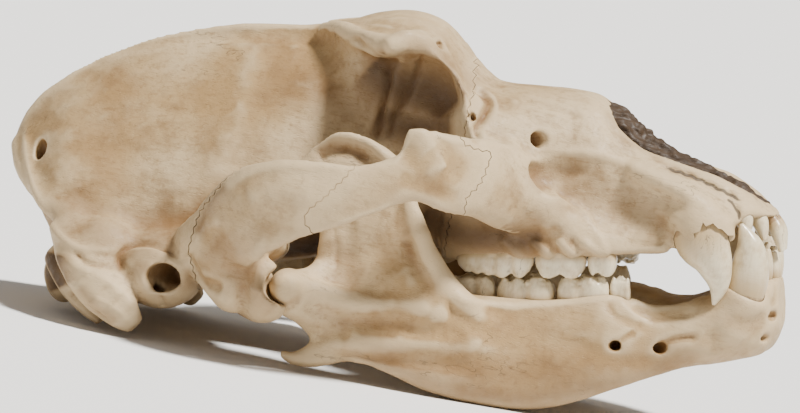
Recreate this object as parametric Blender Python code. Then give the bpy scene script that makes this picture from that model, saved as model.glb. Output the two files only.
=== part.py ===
"""Cave bear (Ursus spelaeus) skull with its lower jaw, life size, resting on its jaw.

Every bone is shaped in the skull frame: millimetres, +X towards the nose, -Y the animal's right
side, +Z up, with the tooth rows level. Forms are skinned through rings, fused by a voxel remesh,
hollowed by Booleans, thinned by a Decimate and parted along the sutures. The finished bones are
then tipped back until the jaw stands on the floor, and scaled to metres.
"""

import math

import bmesh
import bpy
import numpy as np
from mathutils import Matrix, Vector

# Driving dimensions, in millimetres in the skull frame.
JAW_BELLY = (86, 5)  # x and z of the lowest point of the jaw's body
JAW_HEEL = (-46, 30)  # x and z of the lowest point of the jaw's angular process
FLOOR_FLAT = 0.6  # depth of the worn flats where the jaw meets the floor
SUTURE_GAP = 0.4  # width of the thin cut between two bones
SOCKET_GAP = 0.4  # clearance round a canine's root
RING_POINTS = 24  # points round a limb
VOXEL = 2.0  # voxel of the remesh that fuses overlapping forms
FAR = 500.0  # longer than the skull, for cutting slabs

# Where the sutures that part the cranium cross: a point, the cut's lean from upright towards
# the nose in degrees, and the range of half-widths that the cut reaches.
FACE_SUTURE = ((38, 158), 15, (0, 80))
CHEEK_FRONT_SUTURE = ((65.5, 150), 21, (58, 170))
CHEEK_REAR_SUTURE = ((-16, 139), 45, (100, 170))

# The temple bones are freed by an upright cut along the skull's wall and one across, behind them.
TEMPLE_WALL = 62  # half-width of the cut along
TEMPLE_REAR = -119  # x of the cut across
TEMPLE_FRONT = -34  # x where the cut along leaves the bone
TEMPLE_HEIGHTS = (50, 175)

# Triangles left on each kind of bone, teeth not counted.
TRIANGLES = {"cranium": 2950, "jaw": 780}

RIGHT, LEFT = -1, 1
SIDE_NAMES = {RIGHT: "right", LEFT: "left"}

BONE = (0.62, 0.50, 0.33, 1)
ENAMEL = (0.78, 0.69, 0.50, 1)

# The cranium's lines plan. Each station is one cross-section, from the occiput to the nose:
# x, roof at the midline, then (half-width, height) of the roof's rim, the waist of the temple or
# the eye socket's wall, the belly of the braincase or the muzzle, and the foot, and last the keel.
CRANIUM_STATIONS = (
    (-235, 163, (3, 162), (6, 158), (8, 153), (5, 149), 148),
    (-228, 176, (4, 174), (13, 160), (20, 148), (13, 138), 137),
    (-218, 188, (4, 185), (18, 165), (34, 138), (24, 125), 123),
    (-207, 197, (4, 194), (22, 172), (47, 132), (34, 106), 101),
    (-195, 205, (4, 201), (24, 178), (56, 128), (42, 84), 76),
    (-175, 215, (4, 211), (24, 185), (60, 126), (50, 80), 73),
    (-150, 223, (4, 219), (24, 190), (60, 128), (52, 84), 74),
    (-120, 227.5, (4, 223), (27, 192), (61, 133), (50, 88), 77),
    (-90, 230, (5, 226), (31, 193), (59, 139), (44, 93), 83),
    (-60, 229.5, (6, 225), (33, 195), (54, 145), (37, 99), 89),
    (-35, 231.5, (16, 227), (34, 198), (45, 152), (32, 104), 94),
    (-10, 237.5, (44, 225), (37, 200), (37, 155), (30, 108), 98),
    (10, 238, (59, 218), (41, 200), (36, 158), (30, 110), 100),
    (28, 230, (49, 216), (46, 192), (38, 153), (32, 108), 100),
    (44, 210.5, (45, 202), (54, 178), (45, 145), (38, 106), 101),
    (60, 199, (38, 191), (58, 170), (52, 142), (50, 100), 102),
    (82, 194, (31, 188), (52, 168), (53, 136), (56, 97), 102),
    (106, 192, (28, 186), (44, 167), (46, 134), (57, 97), 102),
    (124, 187, (26, 181), (42, 159), (43, 130), (55, 97), 103),
    (138, 173, (26, 170), (39, 150), (42, 126), (51, 98), 104),
    (151, 161, (28, 159), (38, 144), (42, 124), (47, 100), 105),
    (175, 152.5, (28, 150.5), (37, 138), (44, 122), (45, 104), 106),
    (195, 146, (27, 144), (36, 134), (45, 120), (45, 107), 108),
    (212, 137, (24, 135), (31, 129), (36, 120), (34, 113), 111),
    (224, 128, (17, 126), (24, 123), (27, 118), (24, 113), 112),
    (232, 121, (7, 120), (12, 119), (14, 117), (10, 114), 114),
)

# One half of the lower jaw's body: x, tooth edge, lower border, middle of its thickness and half
# that thickness.
JAW_STATIONS = (
    (-14, 60, 37, 83, 6),
    (12, 71, 24, 75, 8),
    (38, 75, 13, 64, 11),
    (62, 72, 7, 57, 13.5),
    (86, 70, 4.5, 52, 14.5),
    (108, 70, 8, 49, 14.5),
    (130, 72, 14.5, 46.5, 14),
    (150, 70, 20.5, 42, 13.5),
    (166, 67, 25.5, 35, 15),
    (180, 67, 29, 27, 20),
    (195, 70, 31.5, 21, 24),
    (210, 75, 34, 17, 24),
    (222, 79, 38, 12, 20),
    (231, 83, 52, 5, 13),
)

# The upright branch of the lower jaw, from its foot to the tip of the coronoid process: height,
# front edge, rear edge, middle of its thickness and half that thickness.
RAMUS_STATIONS = (
    (34, 46, -26, 78, 4.5),
    (48, 54, -36, 78, 6),
    (62, 51, -40, 79, 6),
    (74, 43, -42, 80, 5.5),
    (86, 37, -38, 79, 5.5),
    (96, 31, -28, 78, 5),
    (108, 26, -23, 77.5, 4.8),
    (120, 22, -29, 77, 4.4),
    (134, 17, -41, 76, 4.2),
    (148, 11, -49, 75.5, 4),
    (158, 4, -43, 75, 3.6),
    (165, -6, -33, 75, 3.2),
    (168.5, -15, -25, 75, 2.4),
)

# Limbs of the cranium on the right side: rows of x, y, z, half-width and half-height.
ARCH = (
    (100, -46, 128, 12, 18),
    (88, -66, 137, 13, 24),
    (68, -94, 147, 10.5, 21),
    (50, -114, 149, 8, 18.5),
    (30, -129, 148, 6.5, 14.5),
    (5, -138, 141, 5.5, 15),
    (-20, -141, 137, 6, 20),
    (-44, -139, 135, 8, 23),
    (-66, -129, 125, 12, 27),
    (-86, -110, 111, 16, 25),
    (-102, -84, 101, 19, 20),
    (-110, -56, 99, 21, 17),
)
CHEEK_PROW = (
    (66, -84, 140, 12, 14),
    (86, -68, 136, 13, 15),
    (106, -55, 124, 11, 13),
    (124, -50, 112, 8, 10),
    (138, -46, 104, 5, 6),
)
CHEEK_HORN = ((36, -126, 150, 6, 17), (35, -129, 165, 5, 10), (34, -131, 178, 3, 3.5))
BROW = ((22, -42, 220, 8, 12), (12, -54, 216, 6, 9), (4, -63, 212, 3.5, 4.5))
EYE_RIM = (
    (12, -54, 213, 6, 6),
    (24, -46, 212, 6, 7),
    (35, -44, 205, 5, 8),
    (44, -48, 192, 4.5, 9),
    (51, -53, 178, 4.5, 9),
    (60, -58, 168, 6, 9),
    (76, -58, 158, 8, 9),
)
GLENOID = ((-76, -46, 100, 22, 13), (-72, -84, 105, 22, 13), (-66, -114, 112, 18, 14))
POSTGLENOID = (
    (-90, -52, 90, 10, 12),
    (-82, -70, 78, 12, 16),
    (-73, -88, 73, 14, 17),
    (-67, -106, 76, 14, 19),
    (-66, -121, 90, 10, 14),
)
MASTOID = (
    (-190, -60, 112, 10, 12),
    (-178, -78, 94, 11, 15),
    (-164, -90, 76, 10, 15),
    (-150, -94, 62, 8, 11),
    (-142, -94, 54, 5, 6),
)
PAROCCIPITAL = (
    (-196, -46, 94, 12, 13),
    (-186, -62, 78, 10, 11),
    (-174, -72, 64, 8, 8),
    (-166, -74, 55, 4, 4.5),
)
NUCHAL_CREST = (
    (-231, -3, 158, 6, 7),
    (-226, -18, 145, 6, 7),
    (-215, -34, 134, 6, 8),
    (-200, -50, 124, 7, 9),
    (-184, -64, 112, 8, 10),
    (-172, -77, 99, 9, 12),
)
PTERYGOID = (
    (46, -26, 104, 9, 10),
    (22, -22, 98, 5, 14),
    (0, -20, 96, 4, 15),
    (-18, -20, 94, 3.5, 15),
    (-28, -22, 88, 3, 9),
)
CANINE_SWELLING = (
    (146, -33, 148, 8, 9),
    (168, -37, 136, 12, 12),
    (186, -41, 119, 14, 15),
    (191, -43, 108, 14, 15),
)

# Rounded lumps of the cranium: x, half-width of the centre, z, then the three radii and the yaw
# in degrees on the left side.
LUMPS = {
    "temple_root": (-128, 58, 96, 38, 24, 19, 0),
    "mastoid_body": (-166, 62, 98, 25, 25, 21, 30),
    "ear_boss": (-134, 74, 83, 20, 22, 20, 0),
    "occipital_condyle": (-200, 27, 80, 12, 15, 18, 12),
    "bulla": (-128, 44, 80, 26, 18, 9, -18),
    "tuber": (42, 46, 102, 14, 11, 11, 0),
}

# Hollows of the cranium, as limbs: those on the midline, and those of the right side. The jaw
# joint's hollow leaves the condyle some play.
NOSE = (
    (234, 0, 158, 20, 22),
    (200, 0, 146, 21, 17),
    (164, 0, 150, 22, 22),
    (138, 0, 160, 20, 22),
    (108, 0, 160, 16, 18),
)
PALATE = (
    (210, 0, 98, 14, 10),
    (170, 0, 93, 24, 14),
    (120, 0, 90, 31, 17),
    (70, 0, 90, 31, 16),
    (30, 0, 90, 27, 12),
)
CHOANA = ((36, 0, 94, 15, 16), (0, 0, 88, 15, 15), (-30, 0, 80, 16, 12))
JAW_JOINT = ((-53, -54, 83, 10, 10), (-52, -92, 83, 11.5, 11), (-49, -130, 84, 11, 11))
JAW_JOINT_PLAY = ((-42, -54, 90, 12, 9), (-40, -130, 92, 13, 15))
EAR = ((-122, -80, 84, 7, 7), (-128, -104, 83, 9, 8))
INFRAORBITAL = ((84, -44, 163, 5, 7), (98, -52, 166, 5, 7), (110, -58, 168, 5, 7))
FORAMEN_MAGNUM = (-206, 0, 91, 26, 15, 12, 0)
EYE_SOCKET = (24, 70, 180, 29, 38, 29, -14)

# Limbs of the lower jaw on the right side.
JAW_CONDYLE = ((-53, -68, 83, 8, 8), (-52, -92, 83, 10, 9.5), (-49, -116, 84, 9, 8.5))
JAW_NECK = ((-14, -79, 66, 7, 15), (-32, -83, 71, 8, 12), (-48, -88, 80, 12, 8))
JAW_ANGLE = (
    (-14, -80, 47, 6, 11),
    (-34, -84, 39, 6, 8.5),
    (-48, -87, 36, 5, 5),
    (-57, -88, 40, 2.2, 2.2),
)
FRONT_RIDGE = (
    (90, -56, 44, 5, 6),
    (68, -62, 54, 8, 8),
    (49, -70, 70, 7, 7),
    (33, -76, 94, 5.5, 6),
    (22, -77, 120, 5, 5.5),
    (11, -75, 150, 4, 5),
    (-8, -75, 163, 3.5, 4),
)
UPPER_CHEEK_RIDGE = (
    (-50, -102, 82, 7, 7),
    (-28, -90, 71, 6, 7),
    (0, -83, 65, 5, 7),
    (28, -76, 57, 5, 7),
    (54, -64, 46, 5, 8),
)
LOWER_CHEEK_RIDGE = ((-34, -84, 44, 5, 6), (0, -82, 39, 5, 6), (30, -74, 36, 5, 7), (58, -62, 32, 5, 8))

# Canine teeth of the right side, from the root to the tip.
UPPER_CANINE = (
    (183, -43, 124, 10, 9),
    (189.5, -45, 106.5, 15, 12),
    (195.5, -45.5, 92.5, 11, 9.5),
    (197.5, -44, 79.5, 6.2, 5.6),
    (194, -42.5, 67, 1.4, 1.4),
)
LOWER_CANINE = (
    (206, -30, 58, 10, 9),
    (212, -32.5, 75, 12.5, 10.5),
    (216, -34.5, 88, 11.5, 9.5),
    (216, -36.5, 102.5, 8, 7),
    (210.5, -38, 116.5, 1.5, 1.5),
)

# Cheek teeth: first and last x, middle of the width, and half-width.
UPPER_CHEEK_TEETH = ((43, 88, 47, 11), (90, 119.5, 47, 10), (121, 138, 45.5, 7))
LOWER_CHEEK_TEETH = (
    (38, 65.5, 44.5, 9),
    (66.5, 101, 44.5, 9),
    (102.5, 133, 44, 7.2),
    (134, 145.5, 43, 5),
)
UPPER_NECK, LOWER_NECK = 99, 68  # heights from which the crowns rise
BITE = 84.6  # height where the rows meet at the middle of the bite
BITE_MIDDLE = 45
BITE_SLOPE = 0.22  # fall of the bite towards the cheek, for each millimetre of half-width
BITE_GAP = 0.8
CUSP = 1.0  # height of the small cusps

# Incisors of one side: (x, y, z) at the root and at the edge, half-width and half-depth.
UPPER_INCISORS = (
    ((228, -6, 116), (233.5, -6.5, 95), 5, 5.5),
    ((223, -16.5, 116), (229, -17.5, 96), 5.5, 6),
    ((213.5, -27, 117), (220.5, -29, 101), 6.5, 6.5),
)
LOWER_INCISORS = (
    ((226, -4.5, 74), (227.5, -4.5, 93), 3.4, 4.5),
    ((223, -12.5, 73), (225, -13, 92.5), 4, 4.5),
    ((218, -19.5, 72), (222.5, -20.5, 90), 4.5, 4.5),
)


def spline(rows, steps):
    """Rows of numbers read from a Catmull-Rom curve through the given rows, steps to a span."""
    count = len(rows)
    out = []
    for i in range(count - 1):
        before, start, end, after = (rows[min(max(i + k, 0), count - 1)] for k in (-1, 0, 1, 2))
        for s in range(steps):
            t = s / steps
            out.append(
                tuple(
                    0.5 * (2 * b + (c - a) * t + (2 * a - 5 * b + 4 * c - d) * t * t
                           + (3 * b - a - 3 * c + d) * t ** 3)
                    for a, b, c, d in zip(before, start, end, after)
                )
            )
    out.append(tuple(rows[-1]))
    return out


def power(value, exponent):
    """The power of a number's size, with the number's sign: it squares off an ellipse."""
    return math.copysign(abs(value) ** exponent, value)


def link(mesh, name):
    """A new scene object that shows the mesh."""
    made = bpy.data.objects.new(name, mesh)
    bpy.context.scene.collection.objects.link(made)
    return made


def from_bmesh(shape, name):
    """A new object from a bmesh, which is freed."""
    mesh = bpy.data.meshes.new(name)
    shape.to_mesh(mesh)
    shape.free()
    return link(mesh, name)


def skin(rings, name):
    """A closed object through rings of points, each ring joined to the next and both ends filled."""
    shape = bmesh.new()
    loops = [[shape.verts.new(point) for point in ring] for ring in rings]
    for one, other in zip(loops, loops[1:]):
        for i, vertex in enumerate(one):
            j = (i + 1) % len(one)
            shape.faces.new((vertex, one[j], other[j], other[i]))
    shape.faces.new(loops[0])
    shape.faces.new(reversed(loops[-1]))
    bmesh.ops.recalc_face_normals(shape, faces=shape.faces)
    return from_bmesh(shape, name)


def hull(stations, name):
    """The symmetrical body whose cross-sections are the stations of a lines plan."""
    flat = [(x, roof, *rim, *waist, *belly, *foot, keel)
            for x, roof, rim, waist, belly, foot, keel in stations]
    rings = []
    for x, roof, *offsets, keel in spline(flat, 5):
        side = [(0.0, roof), *zip(offsets[::2], offsets[1::2]), (0.0, keel)]
        other = [(-y, z) for y, z in side]
        half = spline([other[1], *side, other[-2]], 6)[6:-6]
        ring = half + [(-y, z) for y, z in half[-2:0:-1]]
        rings.append([(x, y, z) for y, z in ring])
    return skin(rings, name)


def limb(name, path, side=RIGHT, up=(0, 0, 1), steps=5, points=RING_POINTS):
    """A tapering form along a path drawn on the right side; its half-height is measured along up."""
    rows = [(x, y * -side, z, *rest) for x, y, z, *rest in spline(path, steps)]
    rings = []
    for i, (x, y, z, wide, high) in enumerate(rows):
        ahead = Vector(rows[min(i + 1, len(rows) - 1)][:3]) - Vector(rows[max(i - 1, 0)][:3])
        across = ahead.cross(Vector(up)).normalized()
        rise = across.cross(ahead).normalized()
        ring = []
        for k in range(points):
            turn = 2 * math.pi * k / points
            ring.append(Vector((x, y, z)) + across * wide * math.cos(turn) + rise * high * math.sin(turn))
        rings.append(ring)
    return skin(rings, name)


def egg(name, lump, side=LEFT):
    """An ellipsoid on one side, turned by its yaw about the vertical."""
    x, y, z, *radii, yaw = lump
    shape = bmesh.new()
    bmesh.ops.create_uvsphere(shape, u_segments=24, v_segments=16, radius=1)
    place = Matrix.Translation((x, side * y, z)) @ Matrix.Rotation(math.radians(side * yaw), 4, "Z")
    bmesh.ops.transform(shape, matrix=place @ Matrix.Diagonal((*radii, 1)), verts=shape.verts)
    return from_bmesh(shape, name)


def box(name, low, high):
    """A box between two corners."""
    shape = bmesh.new()
    bmesh.ops.create_cube(shape, size=1)
    low, high = Vector(low), Vector(high)
    place = Matrix.Translation((low + high) / 2) @ Matrix.Diagonal((*(high - low), 1))
    bmesh.ops.transform(shape, matrix=place, verts=shape.verts)
    return from_bmesh(shape, name)


def bake(thing):
    """Writes an object's modifiers into its mesh."""
    graph = bpy.context.evaluated_depsgraph_get()
    mesh = bpy.data.meshes.new_from_object(thing.evaluated_get(graph))
    thing.modifiers.clear()
    thing.data = mesh
    return thing


def join(things, name):
    """Several objects' meshes put into one object, which is returned; the objects are removed."""
    shape = bmesh.new()
    for thing in things:
        shape.from_mesh(thing.data)
        bpy.data.objects.remove(thing)
    return from_bmesh(shape, name)


def fill_creases(thing, rounds):
    """Rounds out the creases where forms meet: only vertices in a hollow move to their neighbours."""
    mesh = thing.data
    count = len(mesh.vertices)
    points = np.empty(count * 3)
    mesh.vertices.foreach_get("co", points)
    points = points.reshape(-1, 3)
    ends = np.empty(len(mesh.edges) * 2, dtype=np.int64)
    mesh.edges.foreach_get("vertices", ends)
    one, other = ends.reshape(-1, 2).T
    degree = np.bincount(one, minlength=count) + np.bincount(other, minlength=count)
    for _ in range(rounds):
        mesh.vertices.foreach_set("co", points.ravel())
        normals = np.array([normal.vector for normal in mesh.vertex_normals])
        total = np.stack(
            [np.bincount(one, points[other, k], count) + np.bincount(other, points[one, k], count)
             for k in range(3)],
            axis=1,
        )
        move = total / degree[:, None] - points
        hollow = (move * normals).sum(axis=1) > 0
        points[hollow] += 0.7 * move[hollow]
        mesh.update()
    mesh.vertices.foreach_set("co", points.ravel())
    return thing


def fuse(things, name, fill=0, soften=3):
    """Overlapping closed forms made one closed body, with its creases filled and then softened."""
    body = join(things, name)
    remesh = body.modifiers.new("fuse", "REMESH")
    remesh.mode = "VOXEL"
    remesh.voxel_size = VOXEL
    fill_creases(bake(body), fill)
    smooth = body.modifiers.new("soften", "SMOOTH")
    smooth.factor = 0.5
    smooth.iterations = soften
    return bake(body)


def boolean(thing, other, operation):
    """The thing with the other object cut away or joined on; the other object is removed."""
    step = thing.modifiers.new(operation.lower(), "BOOLEAN")
    step.operation = operation
    step.object = other
    bake(thing)
    bpy.data.objects.remove(other)
    return thing


def thin(thing, triangles, alike=False):
    """The object reduced to about that many triangles, in the same way on both sides if alike."""
    mesh = thing.data
    mesh.calc_loop_triangles()
    step = thing.modifiers.new("thin", "DECIMATE")
    step.ratio = min(1.0, triangles / len(mesh.loop_triangles))
    step.use_collapse_triangulate = True
    step.use_symmetry = alike
    step.symmetry_axis = "Y"
    return bake(thing)


def cranium_forms(side):
    """The paired forms of the cranium on one side."""
    across, along = (0, 1, 0), (1, 0, 0)
    return [
        limb("arch", ARCH, side),
        limb("cheek_prow", CHEEK_PROW, side),
        limb("cheek_horn", CHEEK_HORN, side, up=along),
        limb("brow", BROW, side),
        limb("eye_rim", EYE_RIM, side, up=across),
        limb("glenoid", GLENOID, side),
        limb("postglenoid", POSTGLENOID, side),
        limb("mastoid", MASTOID, side, up=along),
        limb("paroccipital", PAROCCIPITAL, side, up=along),
        limb("nuchal_crest", NUCHAL_CREST, side, up=along),
        limb("pterygoid", PTERYGOID, side),
        limb("canine_swelling", CANINE_SWELLING, side, up=across),
        *(egg(name, lump, side) for name, lump in LUMPS.items()),
    ]


def cranium_hollows(side):
    """Cutters for the paired hollows of the cranium on one side."""
    return [
        egg("eye_socket", EYE_SOCKET, side),
        limb("jaw_joint", JAW_JOINT, side),
        limb("jaw_joint_play", JAW_JOINT_PLAY, side),
        limb("ear", EAR, side, steps=2),
        limb("infraorbital", INFRAORBITAL, side, steps=2),
    ]


def cranium():
    """The whole cranium, hollowed, before it is parted."""
    forms = [hull(CRANIUM_STATIONS, "cranium_hull")]
    for side in (RIGHT, LEFT):
        forms += cranium_forms(side)
    body = fuse(forms, "cranium", fill=14)
    hollows = [
        limb("nose", NOSE),
        limb("palate", PALATE),
        limb("choana", CHOANA),
        egg("foramen_magnum", FORAMEN_MAGNUM),
    ]
    for side in (RIGHT, LEFT):
        hollows += cranium_hollows(side)
    return boolean(body, fuse(hollows, "hollows", soften=1), "DIFFERENCE")


def jaw_body(side):
    """The body of one half of the lower jaw, which crosses the midline at the chin."""
    rings = []
    for x, top, bottom, middle, half in spline(JAW_STATIONS, 4):
        ring = []
        for k in range(2 * RING_POINTS):
            turn = math.pi * k / RING_POINTS
            wide = half * power(math.cos(turn), 0.75)
            high = (top - bottom) / 2 * power(math.sin(turn), 0.8)
            ring.append((x, side * (middle + wide), (top + bottom) / 2 + high))
        rings.append(ring)
    return skin(rings, "jaw_body")


def jaw_branch(side):
    """The upright branch of one half of the lower jaw."""
    rings = []
    for z, front, rear, middle, half in spline(RAMUS_STATIONS, 3):
        ring = []
        for k in range(2 * RING_POINTS):
            turn = math.pi * k / RING_POINTS
            along = (front - rear) / 2 * power(math.cos(turn), 0.8)
            ring.append(((front + rear) / 2 + along, side * (middle + half * math.sin(turn)), z))
        rings.append(ring)
    return skin(rings, "jaw_branch")


def jaw(side):
    """One half of the lower jaw, its chin cut flat at the midline."""
    forms = [
        jaw_body(side),
        jaw_branch(side),
        limb("jaw_condyle", JAW_CONDYLE, side),
        limb("jaw_neck", JAW_NECK, side),
        limb("jaw_angle", JAW_ANGLE, side),
        limb("front_ridge", FRONT_RIDGE, side, up=(0, 1, 0)),
        limb("upper_cheek_ridge", UPPER_CHEEK_RIDGE, side),
        limb("lower_cheek_ridge", LOWER_CHEEK_RIDGE, side),
    ]
    bone = thin(fuse(forms, f"jaw_{SIDE_NAMES[side]}", fill=8), TRIANGLES["jaw"])
    edges = sorted((side * SUTURE_GAP / 2, -side * FAR))
    return boolean(bone, box("midline", (-FAR, edges[0], -FAR), (FAR, edges[1], FAR)), "DIFFERENCE")


def bite_height(y):
    """Height of the surface where the tooth rows meet, at a half-width."""
    return BITE - (y - BITE_MIDDLE) * BITE_SLOPE


def cheek_tooth(side, first, last, middle, half, neck, upper):
    """A cheek tooth: a crown that swells above its neck and ends in a ring of low cusps."""
    away = 1 if upper else -1  # from the bite towards the bone
    points = max(8, 2 * round((last - first) / 7))
    levels = ((0.0, 0.88), (0.6, 1.0), (1.0, 0.76))
    rings = []
    for part, size in levels:
        ring = []
        for k in range(points):
            turn = 2 * math.pi * (k + 0.5) / points
            along = (last - first) / 2 * size * power(math.cos(turn), 0.6)
            y = middle + half * size * power(math.sin(turn), 0.6)
            edge = bite_height(y) + away * (BITE_GAP / 2 + (CUSP if k % 2 and part == 1 else 0))
            ring.append(((first + last) / 2 + along, side * y, neck + (edge - neck) * part))
        rings.append(ring)
    return skin(rings, "cheek_tooth")


def incisor(side, root, edge, half_width, half_depth):
    """An incisor, leaning from its root to a chisel edge."""
    (x0, y0, z0), (x1, y1, z1) = root, edge
    middle = ((x0 + x1) / 2 + 0.8, (y0 + y1) / 2, (z0 + z1) / 2)
    path = (
        (*root, half_width * 0.75, half_depth),
        (*middle, half_width, half_depth * 0.85),
        (*edge, half_width * 0.8, half_depth * 0.35),
    )
    return limb("incisor", path, side, up=(1, 0, 0), steps=1, points=8)


def add_teeth(bone, side, cheek_teeth, incisors, upper):
    """The bone with its cheek teeth and incisors grown on."""
    neck = UPPER_NECK if upper else LOWER_NECK
    teeth = [cheek_tooth(side, *tooth, neck + (3 if upper else -3), upper) for tooth in cheek_teeth]
    teeth += [incisor(side, *tooth) for tooth in incisors]
    for tooth in teeth:
        boolean(bone, tooth, "UNION")
    return bone


def canine(name, side, path):
    """A canine tooth with the part of its root that its socket holds."""
    return limb(name, path, side, up=(0, 1, 0), steps=3, points=10)


def socket(side, path):
    """The cutter that frees a canine's root from the bone."""
    wider = [(x, y, z, wide + SOCKET_GAP, high + SOCKET_GAP) for x, y, z, wide, high in path]
    sunk = wider[0]
    end = (sunk[0], sunk[1], sunk[2] + math.copysign(SOCKET_GAP, sunk[2] - wider[1][2]), *sunk[3:])
    return limb("socket", (end, *wider), side, up=(0, 1, 0), steps=3, points=10)


def slab(name, side, suture):
    """The thin cutter along a suture, on one side of the skull."""
    (x, z), lean, (near, far) = suture
    cutter = box(name, (-SUTURE_GAP / 2, near, -FAR / 2), (SUTURE_GAP / 2, far, FAR / 2))
    cutter.data.transform(Matrix.Rotation(math.radians(lean), 4, "Y"))
    cutter.data.transform(Matrix.Translation((x, 0, z)))
    if side == RIGHT:
        cutter.data.transform(Matrix.Diagonal((1, -1, 1, 1)))
        cutter.data.flip_normals()
    return cutter


def temple_cuts(side):
    """The two thin cutters that free the temple bone on one side."""
    half = SUTURE_GAP / 2
    low, high = TEMPLE_HEIGHTS
    along = sorted((side * (TEMPLE_WALL - half), side * (TEMPLE_WALL + half)))
    across = sorted((side * (TEMPLE_WALL - half), side * FAR))
    return [
        box("along", (TEMPLE_REAR - half, along[0], low), (TEMPLE_FRONT, along[1], high)),
        box("across", (TEMPLE_REAR - half, across[0], low), (TEMPLE_REAR + half, across[1], high)),
    ]


def loose_parts(thing):
    """The separate closed bodies of an object, as objects; the object is removed."""
    shape = bmesh.new()
    shape.from_mesh(thing.data)
    bpy.data.objects.remove(thing)
    left = set(shape.verts)
    groups = []
    while left:
        stack = [left.pop()]
        group = set(stack)
        while stack:
            for edge in stack.pop().link_edges:
                for vertex in edge.verts:
                    if vertex in left:
                        left.remove(vertex)
                        group.add(vertex)
                        stack.append(vertex)
        groups.append({vertex.index for vertex in group})
    made = []
    for group in groups:
        part = shape.copy()
        part.verts.ensure_lookup_table()
        bmesh.ops.delete(part, geom=[v for v in part.verts if v.index not in group], context="VERTS")
        made.append(from_bmesh(part, "part"))
    shape.free()
    return made


def part_cranium(whole):
    """The cranium cut along its sutures into named bones."""
    for side in (RIGHT, LEFT):
        for name, suture in (("front", CHEEK_FRONT_SUTURE), ("rear", CHEEK_REAR_SUTURE)):
            boolean(whole, slab(name, side, suture), "DIFFERENCE")
        for cutter in temple_cuts(side):
            boolean(whole, cutter, "DIFFERENCE")
    (x, z), lean, (near, far) = FACE_SUTURE
    boolean(whole, slab("face_cut", LEFT, ((x, z), lean, (-far, far))), "DIFFERENCE")
    bones = {}
    for part in sorted(loose_parts(whole), key=lambda part: len(part.data.vertices)):
        middle = sum((v.co for v in part.data.vertices), Vector()) / len(part.data.vertices)
        if abs(middle.y) > TEMPLE_WALL:
            bone = "cheekbone" if middle.x > CHEEK_REAR_SUTURE[0][0] else "temple"
            name = f"{bone}_{SIDE_NAMES[int(math.copysign(1, middle.y))]}"
        else:
            name = "face" if middle.x > x else "braincase"
        if name in bones:  # a crumb left beside the cut
            bpy.data.objects.remove(bones[name])
        part.name = name
        bones[name] = part
    return bones


def material(name, colour, roughness):
    """A Principled material."""
    made = bpy.data.materials.new(name)
    made.use_nodes = True
    shader = made.node_tree.nodes["Principled BSDF"]
    shader.inputs["Base Color"].default_value = colour
    shader.inputs["Roughness"].default_value = roughness
    return made


def stand(things):
    """Tips the skull back on to its jaw, wears the floor flats, and sets metres and the origin."""
    fall = (JAW_HEEL[1] - JAW_BELLY[1]) / (JAW_BELLY[0] - JAW_HEEL[0])
    tip = Matrix.Rotation(-math.atan(fall), 4, "Y")
    for thing in things:
        thing.data.transform(tip)
    corners = [v.co for thing in things for v in thing.data.vertices]
    middle = (min(c.x for c in corners) + max(c.x for c in corners)) / 2
    floor = min(c.z for c in corners) + FLOOR_FLAT
    place = Matrix.Scale(0.001, 4) @ Matrix.Translation((-middle, 0, -floor))
    for thing in things:
        if thing.name.startswith("jaw"):
            boolean(thing, box("floor", (-FAR, -FAR, floor - FAR), (FAR, FAR, floor)), "DIFFERENCE")
        thing.data.transform(place)


def clear_scene():
    """Removes everything from the scene."""
    for thing in list(bpy.data.objects):
        bpy.data.objects.remove(thing)


def main():
    """Builds the skull."""
    clear_scene()
    bones = part_cranium(thin(cranium(), TRIANGLES["cranium"], alike=True))
    for side in (RIGHT, LEFT):
        name = SIDE_NAMES[side]
        lower = bones[f"jaw_{name}"] = jaw(side)
        add_teeth(lower, side, LOWER_CHEEK_TEETH, LOWER_INCISORS, upper=False)
        add_teeth(bones["face"], side, UPPER_CHEEK_TEETH, UPPER_INCISORS, upper=True)
        boolean(lower, socket(side, LOWER_CANINE), "DIFFERENCE")
        for path in (UPPER_CANINE, LOWER_CANINE):  # the lower canine's tip lies in a notch
            boolean(bones["face"], socket(side, path), "DIFFERENCE")
    teeth = {}
    for side in (RIGHT, LEFT):
        for level, path in (("upper", UPPER_CANINE), ("lower", LOWER_CANINE)):
            name = f"{level}_canine_{SIDE_NAMES[side]}"
            teeth[name] = canine(name, side, path)
    stand([*bones.values(), *teeth.values()])
    for name, thing in bones.items():
        thing.data.materials.clear()
        thing.data.materials.append(material(name, BONE, 0.6))
    for name, thing in teeth.items():
        thing.data.materials.append(material(name, ENAMEL, 0.35))


main()
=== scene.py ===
"""Cave bear skull with its lower jaw, life size: the dressed bones and teeth.

Every piece is modelled in the skull frame: millimetres, +X towards the nose, -Y the animal's right
side, +Z up, with the tooth rows level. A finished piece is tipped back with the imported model, which
rests on its jaw, and written in metres.
"""

import logging
import math
from collections.abc import Sequence
from dataclasses import dataclass, field
from enum import Enum
from typing import ClassVar

import bpy
import numpy as np
from mathutils import Matrix, Vector


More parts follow.
